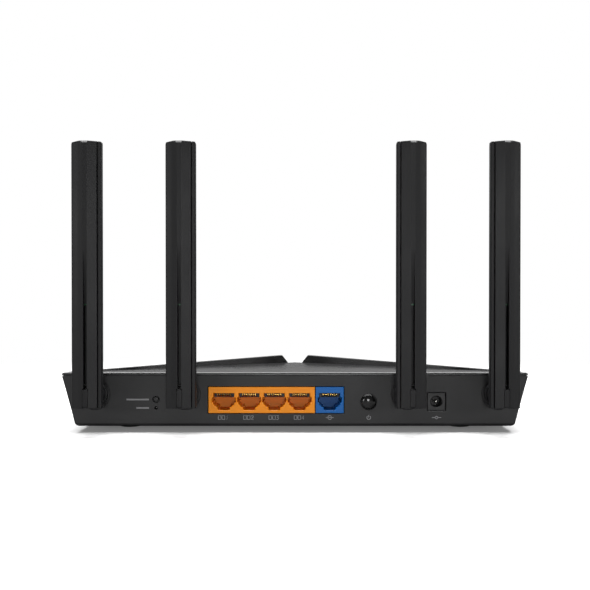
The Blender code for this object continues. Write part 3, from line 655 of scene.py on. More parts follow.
def cover_shell():
    """The cover: a plate with a rounded rim, a rebate over the case's step, and a lip that hangs inside."""
    lip = WALL + 1.3 * MM
    lip_back = lip + 1.6 * MM
    lip_low = SEAM - 1.7 * MM
    rebate = COVER_BOTTOM + STEP
    section = [(PLATE, lip_back), (lip_low, lip_back), (lip_low, lip), (rebate, lip)]
    section += [(rebate, 0.55 * MM), (COVER_BOTTOM, 0.45 * MM)]
    section += [(z, -grow) for z, grow in curved_in(COVER_BOTTOM, -1, 0.12 * MM, 3)]
    section += [(z, -grow) for z, grow in curved_in(TOP, 1, 1.2 * MM, 6)]
    return folded(lofted([case_ring(z, inset, upright=True) for z, inset in section]))


def cover_bosses():
    """The bosses that the case screws hold, and the pilot holes in them."""
    bosses = []
    pilots = []
    for spot in map(middle, CASE_SCREWS):
        high = PLATE + 0.8 * MM - top_fall(spot.x, spot.y)
        bosses.append(solid(circle((spot.x, spot.y), 3.8 * MM, 24), 2, POST_TOP + GAP, high, 0.2 * MM, 2))
        pilots.append(stacked(circle((spot.x, spot.y), 1.6 * MM, 20), 2, [(12 * MM, 0), (19.5 * MM, 0)]))
    return gathered(bosses), gathered(pilots)


def wing_seats():
    """The pockets that the wings sit in, and the wells under their vents."""
    pockets = []
    wells = []
    soft = 0.2 * MM
    stations = [(POCKET, GAP), (TOP - soft, GAP), (TOP, GAP + soft), (TOP + 8 * MM, GAP + soft)]
    for side in (-1, 1):
        pocket = cornered(wing_corners(side), WING_CORNER)
        pockets.append(folded(stacked(pocket, 2, stations)))
        x0, x1 = sorted((side * 20 * MM, side * 74 * MM))
        well = rectangle((x0, REAR + 57 * MM), (x1, REAR + 75 * MM), 2 * MM)
        wells.append(folded(stacked(well, 2, [(POCKET - 4 * MM, 0), (POCKET + 2 * MM, 0)])))
    return gathered(pockets), gathered(wells)


def lens_holes():
    """The row of holes for the lights, a little wider at the surface."""
    surface = TOP - top_fall(0.0, LENS_Y)
    stations = [(surface - 6 * MM, GAP), (surface - 0.2 * MM, GAP)]
    stations += [(surface + 0.2 * MM, 2 * GAP), (surface + 3 * MM, 2 * GAP)]
    return gathered([stacked(lens_outline(i), 2, stations) for i in range(LENS_COUNT)])


def make_top_cover():
    """The cover, which carries the wings and lets the lights through its front."""
    bosses, pilots = cover_bosses()
    pockets, wells = wing_seats()
    mesh = worked(
        cover_shell(),
        ("UNION", bosses),
        ("DIFFERENCE", pilots),
        ("DIFFERENCE", pockets),
        ("DIFFERENCE", wells),
        ("DIFFERENCE", lens_holes()),
    )
    piece("upper_case", mesh, "case", cover_abs, "case_plastic", "top_cover")


# Wings

WING_START = 127.5 * MM  # where its top begins to rise
WING_INNER = 4.2 * MM
WING_OUTER = HALF_WIDTH - 2.6 * MM
WING_PEAK_X = 8.0 * MM
WING_CORNER = 0.8 * MM
WING_PEAK_Z = 38.6 * MM
WING_EDGE = TOP + 0.3 * MM
WING_RISE = (WING_PEAK_Z - WING_EDGE) / (WING_START - WING_PEAK_X)


def wing_corners(side):
    """A wing in plan: broad at the case's side, and running to a point between two creases of the top."""
    rear = REAR + 2.4 * MM
    front = REAR + 132 * MM
    spare = 1.0 * MM  # from the crease
    half_point = CROSS_SLOPE * WING_INNER - spare
    points = [
        (WING_OUTER, rear),
        (WING_OUTER, front),
        ((front + spare - CROSS_Y) / CROSS_SLOPE, front),
        (WING_INNER, CROSS_Y + half_point),
        (WING_INNER, CROSS_Y - half_point),
        ((CROSS_Y + spare - rear) / CROSS_SLOPE, rear),
    ]
    return points if side > 0 else [(-x, y) for x, y in reversed(points)]


def wing_height(x):
    """The height of a wing's top above its outer edge: a long rise, and a short steep end."""
    across = abs(x)
    return min((WING_START - across) * WING_RISE, (across - WING_INNER) / 0.8 + TOP - WING_EDGE)


def wing_form(side, inset, low, drop, radius):
    """A wing's solid, pulled in by inset and lowered by drop, with its top edge rounded."""
    level = WING_EDGE - drop
    outline = cornered(wing_corners(side), WING_CORNER)
    stations = [(low, -inset)] + [(z, grow - inset) for z, grow in curved_in(level, 1, radius, 4)]
    bm = stacked(outline, 2, stations)
    for x in (WING_PEAK_X - MM, WING_PEAK_X, WING_PEAK_X + MM):
        split_at(bm, (side * x, 0, 0), (1, 0, 0))
    shoulder = level - radius
    for v in bm.verts:
        share = min(1.0, (v.co.z - low) / (shoulder - low))
        v.co.z += wing_height(v.co.x) * share
    return folded(bm)


def make_wing(side, name):
    """A raised wing, hollow underneath, with a bank of vents across it."""
    low = POCKET + GAP
    slots = []
    for i in range(9):
        x = side * (24 + 5.6 * i) * MM
        top = WING_EDGE + wing_height(x)
        slot = round_ended((x, REAR + 66 * MM), 15 * MM, 2.4 * MM)
        slots.append(opening(slot, 2, top + 0.1 * MM, low - 3 * MM, 0.5 * MM))
    mesh = worked(
        wing_form(side, 0.0, low, 0.0, 0.7 * MM),
        ("DIFFERENCE", wing_form(side, 2 * MM, low - 2 * MM, 1.6 * MM, 0.3 * MM)),
        ("DIFFERENCE", gathered(slots)),
    )
    piece(name + "_wing", mesh, "case", wing_abs, "wing_plastic", name + "_wing_panel")


def make_light_guide():
    """The clear bar behind the lights, with a lens that comes up through each hole."""
    low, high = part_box("light_pipe")
    bar = box(low, (high.x, high.y, low.z + 3.2 * MM), 0.5 * MM, 0)
    surface = TOP - top_fall(0.0, LENS_Y)
    lenses = []
    for i in range(LENS_COUNT):
        stations = [(low.z + 2 * MM, 0.0)] + curved_in(surface - 0.05 * MM, 1, 0.35 * MM, 3)
        lenses.append(stacked(lens_outline(i), 2, stations))
    mesh = worked(bar, ("UNION", gathered(lenses)))
    piece("light_guide", mesh, "case", acrylic, "light_guide", "light_pipe")


# Sockets, buttons and inlet

WIRE_PITCH = 1.02 * MM
WIRES = 8


def port_corners(x):
    """A network socket's mouth: wide for the plug, with a stepped notch below for its latch."""
    right = [
        (2.8, 12.4),
        (3.4, 12.9),
        (3.4, 14.0),
        (4.9, 14.5),
        (4.9, 15.1),
        (5.85, 15.5),
        (5.85, 16.7),
        (6.7, 16.7),
        (6.7, 19.6),
        (5.85, 19.6),
        (5.85, 21.9),
    ]
    half = [(x + a * MM, z * MM) for a, z in right]
    return half + [(2 * x - a, z) for a, z in reversed(half)]


def make_sockets(name, low, high, ports, plastic, slot):
    """A moulded block of sockets, with its contacts."""
    back = high.y
    contacts = f"{name}_contacts"
    mouths = [opening(cornered(port_corners(x), 0.12 * MM, 2), 1, REAR, back + MM, 0.25 * MM) for x in ports]
    mesh = worked(box(low, high, 0.35 * MM, 1, 0.3 * MM), ("DIFFERENCE", gathered(mouths)))
    piece(f"{name}_socket_block", mesh, "case", plastic, slot, f"{name}_sockets")
    make_carrier(name, ports, back, plastic, slot)
    combs = gathered([comb(x) for x in ports])
    # Painted shade: the combs are black to stand for the shadow at the top of each mouth.
    piece(f"{name}_contact_combs", combs, "case", black_pbt_and_painted_shade, "black_epoxy", contacts)
    paths = [wire_path(x + (i - (WIRES - 1) / 2) * WIRE_PITCH, back) for x in ports for i in range(WIRES)]
    piece(f"{name}_contact_wires", tubes(paths, 0.2 * MM), "case", gold_flash, "gold_plate", contacts)


def comb(x):
    """The insert at the top of a mouth, with a tooth between each contact wire and the next. Its black is painted
    shade for the shadow that the top of the mouth lies in.
    """
    top = 21.75 * MM
    plate = box((x - 5.6 * MM, REAR + 7.2 * MM, 18.9 * MM), (x + 5.6 * MM, REAR + 8.4 * MM, top), 0.1 * MM)
    teeth = []
    for i in range(WIRES + 1):
        at = x + (i - WIRES / 2) * WIRE_PITCH
        corners = [(2.6, 20.6), (7.4, 19.1), (7.4, 21.7), (2.6, 21.7)]
        tooth = cornered([(REAR + a * MM, b * MM) for a, b in corners], 0.1 * MM, 1)
        teeth.append(solid(tooth, 0, at - 0.18 * MM, at + 0.18 * MM, 0.04 * MM, 1))
    return worked(plate, ("UNION", gathered(teeth)))


def make_carrier(name, ports, back, plastic, slot):
    """What closes the sockets behind, with a recess beside and below each mouth."""
    low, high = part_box(f"{name}_contacts")
    recesses = []
    end = high.y - 0.5 * MM
    for x in ports:
        recesses.append(box((x - 3.5 * MM, back, 10 * MM), (x + 3.5 * MM, end, 14.4 * MM), 0.3 * MM, 1))
        for side in (-1, 1):
            near, far = sorted((x + side * 5.5 * MM, x + side * 6.95 * MM))
            recesses.append(box((near, back, 16.4 * MM), (far, end, 19.6 * MM), 0.2 * MM, 1))
    wall = box((low.x, back + GAP, low.z), high, 0.4 * MM, 1)
    wall = worked(wall, ("DIFFERENCE", gathered(recesses)))
    piece(f"{name}_rear_wall", wall, "case", plastic, slot, f"{name}_contacts")


def wire_path(x, back):
    """A contact wire: round the nose of the comb, slanting down between its teeth, and back to the wall."""
    spots = [(4.2, 21.6), (3.0, 21.5), (2.4, 21.2), (2.3, 20.7), (3.2, 20.25), (6.6, 19.25), (9.0, 19.2)]
    points = [(x, REAR + a * MM, b * MM) for a, b in spots]
    return points + [(x, back + 0.5 * MM, 20.2 * MM)]


def push_button(name, spot, radius, proud, crown, collar, stem, finish):
    """A domed cap in its hole, with a collar behind the wall and a stem to its switch."""
    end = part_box(name)[1].y
    inner = REAR + WALL + GAP
    stations = []
    for i in range(1, 13):
        a = math.radians(90 * i / 12)
        stations.append((REAR - proud + crown * (1 - math.cos(a)), radius * math.sin(a)))
    stations += [(inner, radius), (inner, collar), (inner + 0.9 * MM, collar), (inner + 0.9 * MM, stem)]
    stations += [(end - 0.2 * MM, stem), (end, stem - 0.2 * MM)]
    bm = stacked(circle((spot.x, spot.z), 0.0, 48), 1, stations)
    piece(name + "_cap", bm, name, finish, "gloss_black", name)


def make_buttons():
    """Three buttons: their cap's radius, how proud it stands, its crown, its collar and its stem, in mm."""
    for name, spot, sizes, finish in (
        ("power", POWER_BUTTON, (4.0, 1.1, 1.5, 4.9, 1.6), polished_abs),
        ("wps", WPS_BUTTON, (1.4, 0.1, 0.3, 2.3, 1.0), case_abs),
        ("reset", RESET_BUTTON, (0.6, -0.9, 0.2, 1.5, 0.6), polished_abs),
    ):
        push_button(name + "_button", spot, *[size * MM for size in sizes], finish)
    for name in ("power", "wps", "reset"):
        make_switch(name + "_switch")


def make_switch(name):
    """A switch's body with the metal frame that holds it together. Only the power switch's body also has a socket
    for the button's stem.
    """
    low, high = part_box(name)
    spot = (low + high) / 2
    button = middle(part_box(name.replace("switch", "button")))
    body = box(low, high, 0.35 * MM, 1, 0.25 * MM)
    if name == "power_switch":
        bore = opening(circle((button.x, button.z), 2 * MM, 24), 1, low.y, low.y + 5 * MM, 0.2 * MM)
        body = worked(body, ("DIFFERENCE", bore))
    piece(name + "_body", body, "case", chip_epoxy, "black_epoxy", name)
    frame_low = (spot.x - 0.7 * (high.x - spot.x), high.y - 0.6 * MM, high.z - 0.05 * MM)
    frame_high = (spot.x + 0.7 * (high.x - spot.x), high.y - 0.1 * MM, high.z + 0.15 * MM)
    piece(name + "_frame", box(frame_low, frame_high, 0.08 * MM), "case", zinc_plate, "steel")


def make_inlet():
    """The power inlet: a square nose in the panel, a round bore with an eased mouth, and its centre pin."""
    low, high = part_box("power_jack")
    centre = (JACK.x, JACK.z)
    nose_half, body_half = 5 * MM, 4.8 * MM
    nose_low = (JACK.x - nose_half, low.y, JACK.z - nose_half)
    nose = box(nose_low, (JACK.x + nose_half, REAR + 5 * MM, JACK.z + nose_half), 0.7 * MM, 1, 0.3 * MM)
    body_low = (JACK.x - body_half, REAR + WALL + GAP, low.z)
    body = box(body_low, (JACK.x + body_half, high.y, JACK.z + body_half), 0.4 * MM, 1)
    bore = opening(circle(centre, 2.9 * MM, 48), 1, low.y, low.y + 9.5 * MM, 0.5 * MM)
    seat = stacked(circle(centre, 1.2 * MM, 24), 1, [(low.y + 8 * MM, 0), (low.y + 11 * MM, 0)])
    mesh = worked(nose, ("UNION", body), ("DIFFERENCE", bore), ("DIFFERENCE", seat))
    piece("inlet_body", mesh, "case", black_pbt_and_painted_shade, "gloss_black", "power_jack")
    pin_low, pin_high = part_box("jack_pin")
    radius = pin_high.x - JACK.x
    stations = []
    for angle in (15, 30, 45, 60, 75, 90):
        a = math.radians(angle)
        stations.append((pin_low.y + radius * (1 - math.cos(a)), radius * math.sin(a)))
    pin = stacked(circle(centre, 0.0, 32), 1, stations + [(pin_high.y, radius)])
    piece("inlet_pin", pin, "case", nickel_plate, "steel", "jack_pin")


# Printed marks


def ribbon(path, width):
    """A flat printed line along points in X and Z, on the face of the rear wall."""
    points = [Vector(p) for p in path]
    sides = []
    for i, point in enumerate(points):
        along = (points[min(i + 1, len(points) - 1)] - points[max(i - 1, 0)]).normalized()
        sides.append((point, Vector((-along.y, along.x)) * width / 2))
    outline = [p + n for p, n in sides] + [p - n for p, n in reversed(sides)]
    rings = [[(p.x, y, p.y) for p in outline] for y in (REAR - 0.03 * MM, REAR + 0.02 * MM)]
    return lofted(rings)


def printed(name, strokes, width=0.36 * MM):
    piece(name, gathered([ribbon(path, width) for path in strokes]), "case", pad_print, "case_plastic")


# Plain strokes of the digits from 1 to 4, in a box 0.6 wide and 1 high.
DIGITS = (
    [[(0.1, 0.8), (0.3, 1.0), (0.3, 0.0)]],
    [[(0.0, 0.8), (0.15, 1.0), (0.5, 1.0), (0.6, 0.7), (0.0, 0.0), (0.6, 0.0)]],
    [[(0.0, 1.0), (0.6, 1.0), (0.3, 0.6), (0.6, 0.3), (0.4, 0.0), (0.0, 0.0)]],
    [[(0.45, 0.0), (0.45, 1.0), (0.0, 0.3), (0.6, 0.3)]],
)
MARK_LOW = 7.3 * MM
MARK_HIGH = 2.1 * MM


def network_mark(x, digit):
    """Two linked squares and a digit, under a socket."""
    top, mid = MARK_LOW + MARK_HIGH, MARK_LOW + MARK_HIGH / 2
    start = x + 1.2 * MM
    strokes = [[(start + a * MARK_HIGH, MARK_LOW + b * MARK_HIGH) for a, b in path] for path in digit]
    for left in (x - 3.0 * MM, x - 0.9 * MM):
        right = left + 1.5 * MM
        strokes.append([(left, MARK_LOW), (right, MARK_LOW), (right, top), (left, top), (left, MARK_LOW)])
    strokes.append([(x - 1.5 * MM, mid), (x - 0.9 * MM, mid)])
    return strokes


def make_marks():
    """Grey symbols on the rear wall: digits under the sockets, and plain signs at the buttons and inlet."""
    mid = MARK_LOW + MARK_HIGH / 2
    for number, (x, digit) in enumerate(zip(LAN_PORTS, DIGITS), 1):
        printed(f"lan_mark_{number}", network_mark(x, digit))
    globe = arc((WAN_PORT, mid), MARK_HIGH / 2, 0, 360, 24)
    printed("wan_mark", [globe, [(WAN_PORT - 2.2 * MM, mid), (WAN_PORT + 2.2 * MM, mid)]])
    x = POWER_BUTTON.x
    ring = arc((x, mid), MARK_HIGH / 2, 130, 410, 20)
    printed("power_mark", [ring, [(x, mid), (x, MARK_LOW + 1.2 * MARK_HIGH)]])
    x = JACK.x
    strokes = [arc((x, mid), MARK_HIGH / 3, 0, 360, 20)]
    strokes += [[(x + a * MM, mid), (x + b * MM, mid)] for a, b in ((-2.6, -0.8), (0.8, 2.6))]
    printed("inlet_mark", strokes)
    for name, spot, length in (("pairing_mark", WPS_BUTTON, 12.5), ("reset_mark", RESET_BUTTON, 7.0)):
        x = spot.x - 4 * MM
        printed(name, [[(x - length * MM, spot.z), (x, spot.z)]], 0.9 * MM)


# Antennas

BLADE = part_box("antenna_4_rear_shell")
BLADE_LOW = BLADE[0].z - PIVOT_Z
BLADE_HIGH = BLADE[1].z - PIVOT_Z
HALF_BLADE = 8.05 * MM  # half its width
FRONT_V = 4.2 * MM
TONGUE_REACH = 4.6 * MM  # behind the pivot
TONGUE_HIGH = 5.1 * MM
NOTCH_EDGE = 5.3 * MM  # the notch's height over the pivot, at both faces of the blade
NOTCH_SWING = 6.6 * MM  # the radius that the tongue's corners need inside it
TONGUE_WIDTH = 2.8 * MM
TONGUE_OFFSET = 0.7 * MM  # outboard of the blade's middle
RIDGE_V = -4.5 * MM
GROOVE_OUTER, GROOVE_INNER = -1.6 * MM, 0.3 * MM
GROOVE_DEPTH = 3.6 * MM
GROOVE_DEEP_TO = 48 * MM
GROOVE_END = 82 * MM
ROOF_STARTS = 12 * MM  # below a blade's top


def rear_section(depth):
    """The rear half's section as (u, v): u runs inboard and v to the front. A groove cuts its ridge."""
    floor_v = RIDGE_V + depth
    points = [
        (-8.05 * MM, -3.2 * MM),
        (-5 * MM, -4.1 * MM),
        (-1.9 * MM, RIDGE_V),
        (GROOVE_OUTER, RIDGE_V),
        (GROOVE_OUTER, floor_v),
        (GROOVE_INNER, floor_v),
        (GROOVE_INNER, RIDGE_V),
        (0.5 * MM, RIDGE_V),
        (5.7 * MM, -3.9 * MM),
        (5.7 * MM, 0.0),
        (-7.7 * MM, 0.0),
        (-8.05 * MM, -1.0 * MM),
    ]
    ridge = [0.3 * MM, 0.05 * MM, 0.1 * MM, 0.1 * MM, 0.05 * MM, 0.3 * MM]
    reach = [0.5 * MM, 1.2 * MM, *ridge, 0.25 * MM, 0.1 * MM, 0.15 * MM, 0.3 * MM]
    return points, reach


def front_section():
    points = [
        (8.05 * MM, -2.1 * MM),
        (8.05 * MM, 1.6 * MM),
        (6.9 * MM, 4.2 * MM),
        (-6.4 * MM, 4.2 * MM),
        (-7.6 * MM, 0.3 * MM),
        (6.0 * MM, 0.3 * MM),
        (6.0 * MM, -2.9 * MM),
        (7.6 * MM, -2.9 * MM),
    ]
    reach = [0.35 * MM, 0.8 * MM, 0.9 * MM, 0.9 * MM, 0.3 * MM, 0.1 * MM, 0.12 * MM, 0.35 * MM]
    return points, reach


def groove_depth(z):
    share = (GROOVE_END - z) / (GROOVE_END - GROOVE_DEEP_TO)
    return max(0.02 * MM, GROOVE_DEPTH * min(1.0, share))


def roof(u):
    """How much lower a blade's top is at its sides than over the ridge."""
    if u < -3.6 * MM:
        return (-3.6 * MM - u) * 0.25
    return max(0.0, u - 0.9 * MM) * 0.08


def drawn_in(u, v, z, inset):
    """A point of a section near a blade's end, held inside a slightly smaller box."""
    side = HALF_BLADE - (0.4 * inset if z > 0 else inset) * MM
    return min(max(u, -side), side), min(max(v, RIDGE_V + inset * MM), FRONT_V - inset * MM)


def blade_half(rear, pivot, outward):
    """One half of a blade, lofted upwards from its sections, with soft ends."""
    levels = [(BLADE_LOW, 0.4), (BLADE_LOW + 0.12 * MM, 0.15), (BLADE_LOW + 0.4 * MM, 0.0)]
    levels += [(GROOVE_DEEP_TO * t, 0.0) for t in (0.5, 1.0)]
    levels += [(GROOVE_DEEP_TO + (GROOVE_END - GROOVE_DEEP_TO) * i / 8, 0.0) for i in range(1, 9)]
    levels += [(BLADE_HIGH - ROOF_STARTS, 0.0), (BLADE_HIGH - 1.1 * MM, 0.0)]
    levels += [(BLADE_HIGH - 0.12 * MM, 0.85), (BLADE_HIGH, 1.0)]
    rings = []
    for z, inset in levels:
        points, reach = rear_section(groove_depth(z)) if rear else front_section()
        top_share = max(0.0, 1 - (BLADE_HIGH - z) / ROOF_STARTS)
        ring = []
        for u, v in eased(points, reach, 3):
            if inset:
                u, v = drawn_in(u, v, z, inset)
            ring.append(pivot + Vector((-outward * u, v, z - roof(u) * top_share)))
        rings.append(ring)
    return lofted(rings)


def tongue(pivot, outward, root_y):
    """The flat tongue that a blade folds on: square behind, where it closes the blade's notch."""
    y, z = pivot.y, pivot.z
    root_high = TONGUE_HIGH - 1.2 * MM
    corners = [
        (y - TONGUE_REACH, z - TONGUE_HIGH),
        (root_y, z - root_high),
        (root_y, z + root_high),
        (y - TONGUE_REACH, z + TONGUE_HIGH),
    ]
    centre = pivot.x + outward * TONGUE_OFFSET
    outline = cornered(corners, [1.0 * MM, 0.2 * MM, 0.2 * MM, 1.0 * MM], 5)
    return solid(outline, 0, centre - TONGUE_WIDTH / 2, centre + TONGUE_WIDTH / 2, 0.12 * MM, 2)


def notch_outline(pivot):
    """The notch seen from the side: just over the tongue at both faces, and round inside for its swing."""
    y, z = pivot.y, pivot.z
    side = math.degrees(math.asin(NOTCH_EDGE / NOTCH_SWING))
    low = z + BLADE_LOW - 2 * MM
    outline = [(y + 8 * MM, low), (y + 8 * MM, z + NOTCH_EDGE)]
    outline += arc((y, z), NOTCH_SWING, side, 180 - side, 16)
    return outline + [(y - 8 * MM, z + NOTCH_EDGE), (y - 8 * MM, low)]


# A hinge's barrel as (distance into the case, radius), in mm.
BARREL = (
    (-9.3, 5.6),
    (-8.7, 6.2),
    (-1.8, 6.2),
    (-1.8, 6.9),
    (-1.65, 7.22),
    (-1.3, 7.4),
    (0.1, 7.4),
    (0.3, 7.2),
    (0.3, 5.0),
    (2.3, 5.0),
    (2.3, 6.4),
    (3.4, 6.4),
    (4.6, 5.0),
    (7.0, 4.4),
)


def make_hinge(name, pivot, outward, axis_x):
    """The barrel that turns in the rear wall, with its flange and the tongue that the blade folds on."""
    barrel = stacked(circle((axis_x, PIVOT_Z), 0.0, 56), 1, [(REAR + a * MM, r * MM) for a, r in BARREL])
    pin_ends = [(axis_x - 8 * MM, 0), (axis_x + 8 * MM, 0)]
    lead_ends = [(REAR - 4 * MM, 0), (REAR + 9 * MM, 0)]
    knuckle = worked(
        barrel,
        ("UNION", tongue(pivot, outward, REAR - 8.3 * MM)),
        ("DIFFERENCE", stacked(circle((pivot.y, pivot.z), 1.25 * MM, 24), 0, pin_ends)),
        ("DIFFERENCE", stacked(circle((axis_x, PIVOT_Z), 1.3 * MM, 24), 1, lead_ends)),
    )
    piece(f"{name}_hinge", knuckle, f"{name}_knuckle", blade_abs, "antenna_plastic", f"{name}_knuckle")


def make_blade(name, pivot, outward):
    """The two glued halves of a blade, with its notch, the seat of its pin and the hollow inside it."""
    centre = pivot.x + outward * TONGUE_OFFSET
    notch_half = TONGUE_WIDTH / 2 + 0.16 * MM
    for part, v_low, v_high in (("rear", -1.2 * MM, 2 * MM), ("front", -2 * MM, 2.8 * MM)):
        faces = (centre - notch_half, centre + notch_half)
        notch = lofted([[(x, y, z) for y, z in notch_outline(pivot)] for x in faces])
        pin_ends = [(pivot.x - 5 * MM, 0), (pivot.x + 5 * MM, 0)]
        low, high = (pivot.x - 4.9 * MM, pivot.y + v_low), (pivot.x + 4.9 * MM, pivot.y + v_high)
        trough_ends = [(pivot.z + 7.2 * MM, 0), (pivot.z + 133 * MM, 0)]
        mesh = worked(
            blade_half(part == "rear", pivot, outward),
            ("DIFFERENCE", notch),
            ("DIFFERENCE", stacked(circle((pivot.y, pivot.z), 1.3 * MM, 24), 0, pin_ends)),
            ("DIFFERENCE", stacked(rectangle(low, high, 0.3 * MM, 1), 2, trough_ends)),
        )
        shell = f"{name}_{part}_shell"
        piece(f"{name}_{part}_half", mesh, f"{name}_blade", blade_abs, "antenna_plastic", shell)


def make_antenna(number, joint):
    """An antenna: its hinge, its blade and the pin between them."""
    name = f"antenna_{number}"
    fold = next(j for j in frame["joints"] if j["name"] == name + "_fold")
    pivot = Vector(fold["pos_m"])
    outward = math.copysign(1.0, pivot.x)
    make_hinge(name, pivot, outward, joint["pos_m"][0])
    make_blade(name, pivot, outward)
    low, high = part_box(name + "_pin")
    pin = solid(circle((pivot.y, pivot.z), 1.0 * MM, 24), 0, low.x, high.x, 0.25 * MM, 2)
    piece(f"{name}_hinge_pin", pin, f"{name}_blade", zinc_plate, "steel", f"{name}_pin")


# Feet and fasteners


def make_feet():
    """Four round rubber feet, dished underneath."""
    for name, (low, high) in zip(FOOT_NAMES, FEET):
        spot = (low + high) / 2
        radius = high.x - spot.x
        stations = [(low.z + 0.25 * MM, radius - 2.6 * MM), (low.z, radius - 1.8 * MM)]
        stations += [(low.z, radius - 0.9 * MM), (low.z + 0.1 * MM, radius - 0.5 * MM)]
        stations += [(low.z + 0.4 * MM, radius - 0.12 * MM), (low.z + 0.9 * MM, radius), (high.z, radius)]
        bm = stacked(circle((spot.x, spot.y), 0.0, 48), 2, stations)
        piece(name.replace("_foot", "_pad"), bm, "case", foot_rubber, "rubber", name)


def make_screw(name, low, high, head_down):
    """A cross-head screw: a pan head, a cross recess and a threaded shank."""
    spot = (low + high) / 2
    way = 1.0 if head_down else -1.0
    start = low.z if head_down else high.z
    length = high.z - low.z
    stations = [(0.0, 2.0), (0.12, 2.35), (0.45, 2.62), (1.0, 2.7), (1.7, 2.7), (1.8, 2.55), (1.8, 1.3)]
    thread = 1.8
    while thread < length / MM - 1.6:
        stations += [(thread + 0.25, 1.02), (thread + 0.5, 1.3), (thread + 0.65, 1.3), (thread + 0.9, 1.02)]
        thread += 1.0
    stations += [(length / MM - 0.5, 0.9), (length / MM, 0.4)]
    profile = [(start + way * a * MM, r * MM) for a, r in stations]
    shape = stacked(circle((spot.x, spot.y), 0.0, 28), 2, profile)
    deep = sorted([(start - way * 0.5 * MM, 0.1 * MM), (start + way * 1.2 * MM, -0.12 * MM)])
    arms = []
    for half_x, half_y in ((1.5 * MM, 0.32 * MM), (0.32 * MM, 1.5 * MM)):
        low_corner = (spot.x - half_x, spot.y - half_y)
        high_corner = (spot.x + half_x, spot.y + half_y)
        arms.append(stacked(rectangle(low_corner, high_corner, 0.1 * MM, 1), 2, deep))
    mesh = worked(shape, *[("DIFFERENCE", arm) for arm in arms])
    piece(name.replace("screw", "bolt"), mesh, "case", zinc_plate, "steel", name)


def make_screws():
    for i, (low, high) in enumerate(CASE_SCREWS, 1):
        make_screw(f"case_screw_{i}", low, high, True)
    for i, (low, high) in enumerate(BOARD_SCREWS, 1):
        make_screw(f"board_screw_{i}", low, high, False)


# Studio


def make_floor():
    """A white sweep: matt paper that takes a soft shadow, and that loses itself in the white further out."""
    made, tree, place = new_finish("white_paper_sweep")
    grain = noise(tree, place, 25 * MM, 2.0)
    white = blended(tree, grain, linear("#f7f7f7"), linear("#fbfbfb"))
    path = add_node(tree, "ShaderNodeLightPath", {})
    in_view = path.outputs["Is Camera Ray"]
    # The paper gives back less light than it shows, as if dark cloth lay on the floor just out of view.
    dimmed = blended(tree, in_view, linear("#7c7c7c"), white)
    paper = add_node(tree, "ShaderNodeBsdfDiffuse", {"Color": dimmed})
    glow = add_node(tree, "ShaderNodeEmission", {"Color": linear("#ffffff"), "Strength": 1.0})
    distance = add_node(tree, "ShaderNodeVectorMath", {0: place}, operation="LENGTH")
    away = ranged(tree, distance.outputs["Value"], 0.12, 1.0, 0.16, 0.5)
    share = add_node(tree, "ShaderNodeMath", {0: away, 1: in_view}, operation="MULTIPLY")
    mixed = add_node(tree, "ShaderNodeMixShader", {0: share.outputs[0]})
    tree.links.new(paper.outputs[0], mixed.inputs[1])
    tree.links.new(glow.outputs[0], mixed.inputs[2])
    add_node(tree, "ShaderNodeOutputMaterial", {"Surface": mixed.outputs[0]})
    bm = bmesh.new()
    bmesh.ops.create_grid(bm, x_segments=2, y_segments=2, size=12.0)
    floor = as_object("studio_floor", bm)
    floor.data.materials.append(made)


def make_light(name, spot, target, size, power):
    """A soft rectangular lamp that faces a target."""
    data = bpy.data.lights.new(name, "AREA")
    data.shape = "RECTANGLE"
    data.size, data.size_y = size
    data.energy = power
    light = bpy.data.objects.new(name, data)
    light.location = spot
    light.rotation_mode = "QUATERNION"
    light.rotation_quaternion = (Vector(target) - Vector(spot)).to_track_quat("-Z", "Y")
    bpy.context.scene.collection.objects.link(light)


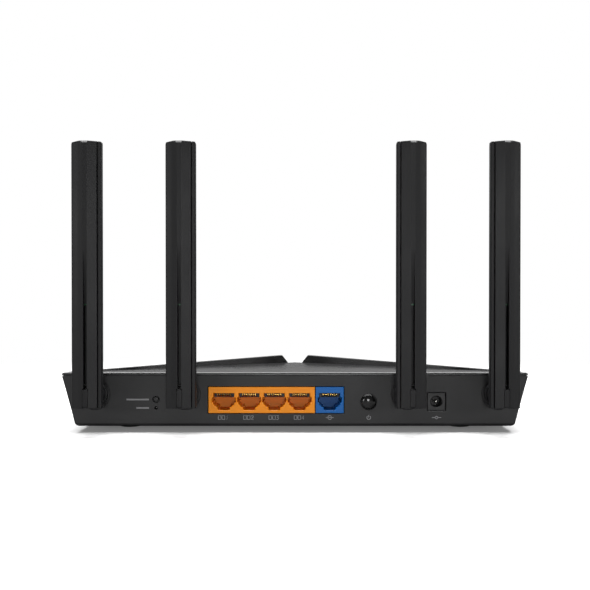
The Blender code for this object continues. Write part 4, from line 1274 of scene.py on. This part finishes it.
def make_studio():
    """A white room that lights the object only faintly, and five lamps."""
    world = bpy.data.worlds.new("white_room")
    world.use_nodes = True
    tree = world.node_tree
    tree.nodes.clear()
    room = add_node(tree, "ShaderNodeBackground", {"Color": linear("#ffffff"), "Strength": 0.15})
    seen = add_node(tree, "ShaderNodeBackground", {"Color": linear("#ffffff"), "Strength": 1.0})
    path = add_node(tree, "ShaderNodeLightPath", {})
    mixed = add_node(tree, "ShaderNodeMixShader", {0: path.outputs["Is Camera Ray"]})
    tree.links.new(room.outputs[0], mixed.inputs[1])
    tree.links.new(seen.outputs[0], mixed.inputs[2])
    add_node(tree, "ShaderNodeOutputWorld", {"Surface": mixed.outputs[0]})
    bpy.context.scene.world = world
    bpy.context.scene.view_settings.view_transform = "Standard"
    make_light("overhead_softbox", (0.0, 0.15, 1.1), (0, 0, 0), (1.5, 0.8), 44.0)
    make_light("front_softbox", (0.06, -1.7, 0.18), (0, 0, 0.06), (0.3, 0.25), 4.5)
    for side, name in ((-1, "left"), (1, "right")):
        make_light(name + "_softbox", (side * 1.35, -1.5, 0.35), (0, 0, 0.06), (0.4, 0.3), 5.5)
    make_light("far_softbox", (0.0, 1.8, 0.42), (0, 0, 0.03), (2.0, 0.3), 1.3)


def make_camera():
    """Behind the router, a little over half as high as its antennas."""
    data = bpy.data.cameras.new("camera")
    data.lens = 57.0
    data.clip_start, data.clip_end = 0.01, 50.0
    camera = bpy.data.objects.new("camera", data)
    camera.location = (0.0, REAR - 520 * MM, 82.2 * MM)
    camera.rotation_euler = (math.radians(90 - 0.61), 0.0, 0.0)
    bpy.context.scene.collection.objects.link(camera)
    bpy.context.scene.camera = camera


make_camera()
make_studio()
make_floor()
make_bottom_case()
make_top_cover()
make_wing(-1, "left")
make_wing(1, "right")
make_light_guide()
make_sockets("lan", LAN_LOW, LAN_HIGH, LAN_PORTS, orange_pbt, "orange_plastic")
make_sockets("wan", WAN_LOW, WAN_HIGH, [WAN_PORT], blue_pbt, "blue_plastic")
make_buttons()
make_inlet()
make_marks()
for number, joint in enumerate(ANTENNAS, 1):
    make_antenna(number, joint)
make_feet()
make_screws()

FINISH_OF = {
    "main_board": board_mask,
    "left_radio_shield": tin_plate,
    "right_radio_shield": tin_plate,
    "processor": chip_epoxy,
    "memory_chip": chip_epoxy,
    "line_transformer": chip_epoxy,
    "power_inductor": chip_epoxy,
    "heatsink": extruded_aluminium,
    "capacitor": extruded_aluminium,
}
for i in range(1, 5):
    FINISH_OF[f"antenna_{i}_lead"] = lead_jacket
    FINISH_OF[f"antenna_{i}_radiator"] = board_mask
for name, finish in FINISH_OF.items():
    node = frame["nodes"][name]
    node.data.materials.clear()
    node.data.materials.append(finish)
